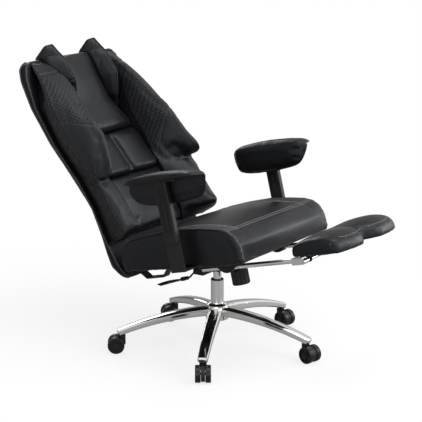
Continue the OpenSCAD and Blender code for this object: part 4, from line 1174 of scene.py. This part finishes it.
@dataclass
class Wings:
    """The side wings: a soft ridge, a quilted upper panel, a piped edge and gathered side panels."""

    finishes: Wardrobe
    inner: float = 0.148
    clear: float = 0.4 * MM
    cap_seam: float = 1.035
    ridge_seam: float = 0.838
    inner_fall: float = 2.4
    outer_rise: float = 0.3
    side_from: float = 0.19
    seam_depth: float = 0.070
    seam_lift: float = 0.03
    pucker: float = 0.8 * MM
    pucker_reach: float = 0.055

    def lines(self, side: str) -> dict[str, Array]:
        """Level lines of one wing: ridge and piped edge, upper and lower.

        Args:
            side: left or right.

        Returns:
            The lines by name.
        """
        found = {}
        for part in ("upper", "lower"):
            rings = stations(f"{part}_wing_{side}", 2)
            ridge, edges = [ring[ring[:, 1].argmin()] for ring in rings], []
            for ring in rings:
                reach = np.abs(ring[:, 0])
                edge = ring[reach > reach.max() - 0.3 * MM]
                edges.append(edge[edge[:, 1].argmin()])
            found[part + "_ridge"] = resample(np.array(ridge), 3 * MM, 4)
            found[part + "_pipe"] = resample(np.array(edges), 3 * MM, 4)
        return found

    def seam_height(self, across: Array, depth: Array) -> Array:
        """Height of the diagonal seam at a depth behind the ridge, falling inwards and rising outwards.

        Args:
            across: Signed distance from the ridge, inner side negative.
            depth: Distance behind the ridge at the seam.

        Returns:
            The level height of the seam there.
        """
        return self.ridge_seam + np.where(across < 0, -self.inner_fall, self.outer_rise) * np.maximum(depth, 0)

    def build(self, side: str) -> None:
        """Makes one wing.

        Args:
            side: left or right.
        """
        sign = SIDES[side]
        lines = self.lines(side)
        pipes = [lines["upper_pipe"], lines["lower_pipe"]]
        cushion = Cushion(f"wing_{side}", [f"upper_wing_{side}", f"lower_wing_{side}"], cap=7 * MM)
        level = cushion.level()
        normals = cushion.normals()
        held = smooth_step(normals[:, 1], 0.5, 0.85) * (np.abs(BACK.gap(level)) < 12 * MM)
        for line in pipes:
            held = np.maximum(held, hold(level, line, 3 * MM, 12 * MM))
        cushion.blow(held)
        cushion.pull_out(pipes + [lines["upper_ridge"]])
        finish_modifier(cushion.piece, "SMOOTH", factor=0.5, iterations=5)
        level = cushion.level()
        nearest = self.inner + self.clear
        level[:, 0] = np.where(level[:, 0] * sign < nearest, sign * nearest, level[:, 0])
        cushion.place(level)
        cushion.press_seams([Seam(line) for line in pipes])
        front, mask = self.sew_panel(cushion, lines, sign)
        level = cushion.level()
        panel = (~front & (np.abs(level[:, 0]) > self.side_from)).astype(float)
        cushion.gather(pipes[0], depth=1.5 * MM, reach=50 * MM, pitch=40 * MM, seed=2.0 + sign, where=panel)
        cushion.gather(pipes[1], depth=1.2 * MM, reach=40 * MM, pitch=38 * MM, seed=3.0 + sign, where=panel)
        fan = level - pipes[0][:6].mean(0)
        turn = np.arctan2(fan[:, 1], fan[:, 2])
        swell(cushion.piece, bell(np.linalg.norm(fan, axis=1), self.pucker_reach) * np.sin(turn * 11) * self.pucker)
        cushion.crumple(depth=1.8 * MM, scale=8.0, stretch=(1, 1, 0.6), where=1 - 0.6 * mask)
        cushion.done(self.finishes.quilted, "seat")
        self.trim(side, cushion.skin(), lines)

    def sew_panel(self, cushion: Cushion, lines: dict[str, Array], sign: int) -> tuple[Array, Array]:
        """Presses the seams round the quilted panel and quilts it.

        Args:
            cushion: The wing's cushion.
            lines: The wing's lines.
            sign: 1 for the left wing and -1 for the right one.

        Returns:
            For each vertex, whether it is in front of the piped edge, and 1 on the quilted panel.
        """
        level = cushion.level()
        ridge = np.vstack([lines["lower_ridge"], lines["upper_ridge"]])
        edge = np.vstack([lines["lower_pipe"], lines["upper_pipe"]])
        near = near_line(level, ridge)
        across = np.where((level[:, 0] - ridge[near.index][:, 0]) * sign < 0, -near.distance, near.distance)
        front = level[:, 1] < np.interp(level[:, 2], edge[:, 2], edge[:, 1]) - 3 * MM
        seen = np.where(across > 0, front, True)
        start = self.corner(lines["upper_ridge"], self.ridge_seam)[1]
        height = self.seam_height(across, level[:, 1] - start)
        above = smooth_step(level[:, 2] - height, 2 * MM, 6 * MM)
        mask = above * (1 - smooth_step(level[:, 2], self.cap_seam - 5 * MM, self.cap_seam)) * seen
        steep = np.where(across < 0, math.hypot(1, self.inner_fall), math.hypot(1, self.outer_rise))
        diagonal = bell((level[:, 2] - height) / steep, 3 * MM)
        cap = bell(level[:, 2] - self.cap_seam, 3.5 * MM)
        swell(cushion.piece, -1.6 * MM * np.maximum(diagonal * seen, cap * seen))
        cushion.quilt(across, level[:, 2], mask, 0.6 * MM)
        return front, mask

    def corner(self, line: Array, height: float) -> Array:
        """The point of a line nearest to a level height."""
        return line[np.abs(line[:, 2] - height).argmin()]

    def trim(self, side: str, skin: Surface, lines: dict[str, Array]) -> None:
        """Lays the piping and sews the diagonal seam.

        Args:
            side: left or right.
            skin: The wing's skin.
            lines: The wing's lines.
        """
        sign = SIDES[side]
        for part in ("upper", "lower"):
            line = skin.lay(lines[part + "_pipe"], 0.5 * MM)
            pipe(f"{part}_wing_piping_{side}", line, 2.4 * MM, self.finishes.piping)
        rows = []
        for shift in (-5 * MM, 5 * MM):
            corner = self.corner(lines["upper_ridge"], self.ridge_seam) + np.array([0, 0, shift])
            low = (sign * self.inner, corner[1] + self.seam_depth, corner[2] - self.inner_fall * self.seam_depth)
            rows.append(resample(np.array([corner, low]), 8 * MM))
            edge = self.corner(lines["upper_pipe"], self.ridge_seam + self.seam_lift) + np.array([0, 0, shift])
            rows.append(resample(np.array([corner, edge]), 8 * MM)[:-1])
        rows.append(lines["lower_pipe"][6:] + np.array([-sign * 6 * MM, -3 * MM, 0]))
        Stitch().sew(f"wing_stitches_{side}", rows, skin, self.finishes.grey_thread)


@dataclass
class HeadLobes:
    """The two fin-like lobes beside the head pad, with a piped ridge."""

    finishes: Wardrobe
    ridge_x: float = 0.112
    fuller: float = 6 * MM
    fuller_from: float = 1.02
    fuller_to: float = 1.09
    outer: float = 1 * MM

    def build(self, side: str) -> None:
        """Makes one lobe.

        Args:
            side: left or right.
        """
        sign = SIDES[side]
        node = f"head_lobe_{side}"
        ridge = resample(np.array([ring[ring[:, 1].argmin()] for ring in stations(node, 2)]), 3 * MM, 6)
        ridge[:, 0] = sign * self.ridge_x
        cushion = Cushion(f"lobe_{side}", [node], voxel=4 * MM, cap=12 * MM, shrink=-0.8 * MM, rounding=1)
        level = cushion.level()
        cushion.blow(np.maximum(hold(level, ridge, 2 * MM, 10 * MM), np.abs(BACK.gap(level)) < 8 * MM))
        cushion.pull_out([ridge])
        swell(cushion.piece, self.fuller * smooth_step(cushion.level()[:, 2], self.fuller_from, self.fuller_to))
        cushion.press_seams([Seam(ridge, depth=1.0 * MM)])
        outside = (cushion.level()[:, 0] * sign > self.ridge_x + self.outer).astype(float)
        cushion.gather(ridge[:60], depth=1.8 * MM, reach=34 * MM, pitch=22 * MM, seed=5.0, where=outside)
        cushion.crumple(depth=1.4 * MM, scale=10.0)
        cushion.done(self.finishes.leather, "seat")
        line = resample(cushion.skin().lay(ridge, 0.5 * MM), 4 * MM, 2)
        pipe(f"lobe_piping_{side}", line, 2.6 * MM, self.finishes.piping)


@dataclass(frozen=True)
class Pad:
    """One of the pads up the middle of the back, between two level heights."""

    name: str
    node: str
    low: float
    high: float
    cap: float = 14 * MM
    voxel: float = 6 * MM
    grooved: bool = False


@dataclass
class MiddlePads:
    """The smooth pads up the middle of the back: head, lumbar and lower."""

    finishes: Wardrobe
    half: float = 0.1478
    clear: float = 0.4 * MM
    groove_depth: float = 0.036
    pads: tuple[Pad, ...] = (
        Pad("head_pad", "head_cushion", 0.798, 1.090),
        Pad("lumbar_pad", "lumbar_cushion", 0.648, 0.798, cap=12 * MM, voxel=5 * MM, grooved=True),
        Pad("lower_pad", "lower_cushion", 0.452, 0.648),
    )

    def shape(self, cushion: Cushion, pad: Pad) -> None:
        """Blows up one pad between its neighbours and sews the groove up its middle where it has one.

        Args:
            cushion: The pad's cushion.
            pad: The pad.
        """
        level = cushion.level()
        held = 1 - smooth_step(BACK.gap(level), 4 * MM, 14 * MM)
        heights = np.linspace(pad.low, pad.high, 60)
        middle = np.stack([np.zeros(60), BACK.front(heights) - self.groove_depth, heights], 1)
        if pad.grooved:
            held = np.maximum(held, hold(level, resample(middle, 4 * MM), 5 * MM, 16 * MM))
        cushion.blow(held)
        level = cushion.level()
        level[:, 0] = np.clip(level[:, 0], -self.half, self.half)
        level[:, 2] = np.clip(level[:, 2], pad.low + self.clear, pad.high - self.clear)
        cushion.place(level)
        if pad.grooved:
            cushion.press_seams([Seam(middle, depth=6 * MM, width=8 * MM)])
            cushion.gather(middle, depth=0.7 * MM, reach=42 * MM, pitch=30 * MM, seed=7.0)

    def build(self) -> None:
        """Makes the three pads."""
        for pad in self.pads:
            cushion = Cushion(pad.name, [pad.node], voxel=pad.voxel, cap=pad.cap, pressure=6.0)
            self.shape(cushion, pad)
            for z, seed in ((pad.low, 1.0), (pad.high, 2.0)):
                xs = np.linspace(-0.145, 0.145, 60)
                line = np.stack([xs, np.full(60, float(BACK.front(z)) - 0.03), np.full(60, z)], 1)
                cushion.gather(line, depth=0.5 * MM, reach=34 * MM, pitch=34 * MM, seed=seed)
            cushion.crumple(depth=1.2 * MM, scale=8.0)
            cushion.done(self.finishes.leather, "seat")


@dataclass
class Shell:
    """The upholstered shell behind the pads, with a piped side band."""

    finishes: Wardrobe
    band_from: float = 0.19
    seam_half: float = 0.24
    seam_heights: tuple[float, ...] = (0.46, 0.70, 0.93)

    def edges(self) -> tuple[Array, Array]:
        """Level lines of the front and rear edge of the left side band.

        Returns:
            The front line and the rear line.
        """
        front, rear = [], []
        for ring in stations("back_shell", 2):
            reach = np.abs(ring[:, 0]).max()
            edge = ring[(ring[:, 0] > reach - 0.3 * MM)]
            if reach > self.band_from and len(edge) >= 2:
                front.append(edge[edge[:, 1].argmin()])
                rear.append(edge[edge[:, 1].argmax()])
        return resample(np.array(front), 4 * MM, 4), resample(np.array(rear), 4 * MM, 4)

    def seam(self, level: Array, z: float) -> Seam:
        """The seam across the back at a level height.

        Args:
            level: Level vertices of the cover.
            z: The height.

        Returns:
            The seam.
        """
        band = level[(np.abs(level[:, 2] - z) < 8 * MM) & (np.abs(level[:, 0]) < 0.05)]
        xs = np.linspace(-self.seam_half, self.seam_half, 100)
        line = np.stack([xs, np.full(100, float(band[:, 1].max())), np.full(100, z)], 1)
        return Seam(line, depth=2.5 * MM, width=5 * MM)

    def build(self) -> None:
        """Makes the shell's cover, its pipings and its stitches."""
        front, rear = self.edges()
        cushion = Cushion("shell_cover", ["back_shell"], voxel=8 * MM, cap=7 * MM, shrink=0.5 * MM, fill=0.3)
        level = cushion.level()
        normals = cushion.normals()
        held = smooth_step(-normals[:, 1], 0.3, 0.7)
        for line in (front, rear):
            for sign in (-1, 1):
                held = np.maximum(held, hold(level, line * np.array([sign, 1, 1]), 4 * MM, 14 * MM))
        cushion.blow(held)
        level = cushion.level()
        seams = [self.seam(level, z) for z in self.seam_heights]
        cushion.press_seams(seams)
        cushion.crumple(depth=1.6 * MM, scale=7.0)
        cushion.done(self.finishes.shell, "seat")
        skin = cushion.skin()
        for side, sign in SIDES.items():
            for name, line in (("front", front), ("rear", rear)):
                placed = skin.lay(line * np.array([sign, 1, 1]), 0.4 * MM)
                # These pipings carry the paler shell piping leather, whose colour is a painted sheen.
                pipe(f"shell_piping_{name}_{side}", placed, 3.0 * MM, self.finishes.shell_piping_painted_sheen)
        rows = [seam.line + np.array([0, 0, shift]) for seam in seams for shift in (-4 * MM, 4 * MM)]
        Stitch().sew("shell_stitches", rows, skin, self.finishes.dark_thread, slot="shell_leather")


@dataclass
class Armrests:
    """The arm pads: a thin roll over a deep flap, with a welt and gathered corners."""

    finishes: Wardrobe
    held_x: float = 0.296
    held_z: float = 0.634
    sleeve_x: float = 0.2995
    sleeve_z: float = 0.6325
    thread: Stitch = Stitch(3.5 * MM, 2.5 * MM)

    def build(self, side: str) -> None:
        """Makes one arm pad, its welts and its stitches.

        Args:
            side: left or right.
        """
        sign = SIDES[side]
        node, body = f"arm_pad_{side}", "arm_" + side
        rings = stations(node, 1)
        outer = resample(np.array([ring[(ring[:, 0] * sign).argmax()] for ring in rings]), 3 * MM, 3)
        low = resample(np.array([ring[ring[:, 2].argmin()] for ring in rings]), 3 * MM, 3)
        cushion = Cushion(f"armrest_{side}", [node], voxel=4 * MM, cap=4 * MM)
        level = cushion.level()
        inside = (np.abs(level[:, 0]) > self.held_x) & (level[:, 2] < self.held_z)
        cushion.blow(np.maximum(hold(level, outer, 2 * MM, 9 * MM), inside))
        level = cushion.level()
        under = (level[:, 2] < self.sleeve_z) & (np.abs(level[:, 0]) > self.sleeve_x)
        level[:, 0] = np.where(under, sign * self.sleeve_x, level[:, 0])
        cushion.place(level)
        cushion.press_seams([Seam(outer, depth=1.0 * MM)])
        cushion.gather(outer, depth=0.2 * MM, reach=22 * MM, pitch=26 * MM, seed=1.0 + sign)
        cushion.gather(low, depth=0.25 * MM, reach=34 * MM, pitch=34 * MM, seed=2.0 + sign)
        cushion.crumple(depth=0.5 * MM, scale=9.0)
        cushion.done(self.finishes.leather, body)
        skin = cushion.skin()
        for name, line in (("roll", outer), ("flap", low)):
            placed = resample(skin.lay(line, 0.3 * MM), 4 * MM, 2)
            pipe(f"arm_welt_{name}_{side}", placed, 1.9 * MM, self.finishes.piping, body)
        end = rings[0][np.argsort(rings[0][:, 2])]
        row = resample(np.array([end[0], end[-1]]) + np.array([-sign * 6 * MM, 8 * MM, 0]), 6 * MM)
        self.thread.sew(f"arm_stitches_{side}", [row], skin, self.finishes.thread, body)


@dataclass
class Footrest:
    """The two-lobed footrest cushion with its seam."""

    finishes: Wardrobe
    half: float = 0.184
    held_z: float = 0.331
    lowest: float = 0.3245
    upper: float = 0.45

    def build(self) -> None:
        """Makes the cushion and its stitches."""
        cushion = Cushion("footrest_pad", ["footrest_cushion"], voxel=5 * MM, cap=6 * MM)
        fronts = []
        for ring in stations("footrest_cushion", 0):
            if np.abs(ring[0, 0]) <= self.half:
                top, bottom = ring[:, 2].max(), ring[:, 2].min()
                high = ring[ring[:, 2] > top - self.upper * (top - bottom)]
                fronts.append(high[high[:, 1].argmin()])
        seam = resample(np.array(fronts), 3 * MM, 12)
        level = cushion.level()
        cushion.blow(np.maximum(hold(level, seam, 3 * MM, 12 * MM), level[:, 2] < self.held_z))
        level = cushion.level()
        level[:, 2] = np.maximum(level[:, 2], self.lowest)
        cushion.place(level)
        cushion.press_seams([Seam(seam)])
        cushion.gather(seam, depth=0.25 * MM, reach=26 * MM, pitch=34 * MM, seed=2.0)
        cushion.crumple(depth=0.6 * MM, scale=8.0)
        cushion.done(self.finishes.leather, "footrest_pad")
        row = resample(seam[8:-8], 3 * MM, 30) + np.array([0, 5 * MM, 3 * MM])
        Stitch().sew("footrest_stitches", [row], cushion.skin(), self.finishes.thread, "footrest_pad")


# ---------------------------------------------------------------- rigid pieces


@dataclass
class Hardware:
    """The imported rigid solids, each with its finish, creases and smooth curves."""

    finishes: Wardrobe
    crease: float = 32.0
    weld: float = 0.01 * MM

    def build(self) -> None:
        """Dresses every solid that stays."""
        slots = {row["node"]: row["material_slot"] for row in frame["record"]["subparts"]}
        for name, node in frame["nodes"].items():
            if node.hide_render:
                continue
            material = self.finishes.gloss if "_wheel_" in name else self.finishes.of_slot(slots[name])
            node.data.materials.clear()
            node.data.materials.append(material)
            node.data.polygons.foreach_set("use_smooth", [True] * len(node.data.polygons))
            node.modifiers.new("weld", "WELD").merge_threshold = self.weld
            node.modifiers.new("creases", "EDGE_SPLIT").split_angle = math.radians(self.crease)
            LOG.info("%s keeps its solid", name)


# ---------------------------------------------------------------- studio


def turn_to(thing: Piece, direction: Vector) -> None:
    """Links a camera or lamp to the scene and turns it to a direction.

    Args:
        thing: The camera or lamp.
        direction: Where it looks.
    """
    bpy.context.scene.collection.objects.link(thing)
    thing.rotation_mode = "QUATERNION"
    thing.rotation_quaternion = direction.to_track_quat("-Z", "Y")


@dataclass(frozen=True)
class Camera:
    """The photograph's view, worked out from its perspective."""

    azimuth: float = -55.0
    elevation: float = 14.0
    distance: float = 4.66
    focal_pixels: float = 1400.0
    image: float = 422.0
    sensor: float = 36.0
    aside: float = -0.021
    height: float = 0.475
    reach: float = 60.0

    def build(self) -> None:
        """Makes the camera."""
        a, e = math.radians(self.azimuth), math.radians(self.elevation)
        back = Vector((math.sin(a) * math.cos(e), -math.cos(a) * math.cos(e), math.sin(e)))
        right = Vector((math.cos(a), math.sin(a), 0))
        data = bpy.data.cameras.new("camera")
        data.sensor_width = self.sensor
        data.lens = self.focal_pixels * self.sensor / self.image
        data.clip_end = self.reach
        camera = bpy.data.objects.new("camera", data)
        turn_to(camera, -back)
        camera.location = right * self.aside + Vector((0, 0, self.height)) + back * self.distance
        bpy.context.scene.camera = camera


@dataclass(frozen=True)
class Softbox:
    """A large rectangular lamp."""

    name: str
    place: Triple
    aim: Triple
    size: Pair
    watts: float

    def build(self) -> None:
        """Makes the lamp."""
        data = bpy.data.lights.new(self.name, "AREA")
        data.shape = "RECTANGLE"
        data.size, data.size_y = self.size
        data.energy = self.watts
        lamp = bpy.data.objects.new(self.name, data)
        turn_to(lamp, Vector(self.aim) - Vector(self.place))
        lamp.location = self.place


@dataclass(frozen=True)
class Studio:
    """White studio: pale floor, soft lamps and a white surround."""

    floor_radius: float = 14.0
    floor_height: float = -0.2 * MM
    bright_side: Triple = (-0.15, -0.9, 0.1)
    lamps: tuple[Softbox, ...] = (
        Softbox("top_softbox", (-0.4, -0.5, 2.9), (0.0, 0.1, 0.6), (1.8, 1.6), 32),
        Softbox("front_softbox", (0.4, -3.0, 2.4), (0.0, 0.0, 0.6), (2.8, 1.9), 80),
        Softbox("left_softbox", (-3.1, -1.3, 0.95), (0.0, 0.1, 0.7), (1.8, 0.7), 16),
        Softbox("low_softbox", (2.5, -1.9, 1.1), (0.0, -0.1, 0.45), (0.9, 1.2), 26),
        Softbox("rim_softbox", (1.6, 2.6, 2.0), (0.0, 0.2, 0.6), (1.2, 1.8), 28),
    )

    def build(self) -> None:
        """Makes the floor, the surround, the lamps and the camera."""
        self.floor()
        self.surround()
        for lamp in self.lamps:
            lamp.build()
        Camera().build()
        bpy.context.scene.view_settings.view_transform = "Standard"

    def floor(self) -> None:
        """A wide floor just under the casters."""
        bpy.ops.object.select_all(action="DESELECT")
        place = (0, 0, self.floor_height)
        bpy.ops.mesh.primitive_circle_add(vertices=96, radius=self.floor_radius, fill_type="NGON", location=place)
        floor = bpy.context.view_layer.objects.active
        floor.name = "studio_floor"
        floor.data.materials.append(PaleFloor("pale_floor").material())

    def surround(self) -> None:
        """A white surround that lights the chair softly, from the front more than from behind."""
        world = bpy.data.worlds.new("studio")
        bpy.context.scene.world = world
        world.use_nodes = True
        n = Nodes(world.node_tree)
        background = n.own("BACKGROUND")
        towards = n.add("TexCoord", {}, {}, "Generated")
        side = n.add("VectorMath", {"operation": "DOT_PRODUCT"}, {0: towards, 1: self.bright_side}, "Value")
        lit = side.step(-0.9, 0.1)
        direct, shiny, clear = n.rays("Camera", "Glossy", "Transmission")
        seen = direct.math("MAXIMUM", clear).math("MAXIMUM", shiny * (lit * 0.85 + 0.15))
        n.put(background.inputs["Color"], (1, 1, 1, 1))
        n.put(background.inputs["Strength"], seen.math("MAXIMUM", lit * 0.5 + 0.1))


def main() -> None:
    """Builds the chair's looks piece by piece."""
    finishes = Wardrobe()
    Studio().build()
    Seat(finishes).build()
    for side in SIDES:
        for group in (Wings, HeadLobes, Armrests):
            group(finishes).build(side)
    for group in (MiddlePads, Shell, Footrest, Hardware):
        group(finishes).build()


if __name__ == "__main__":
    logging.basicConfig(level=logging.INFO)
    main()
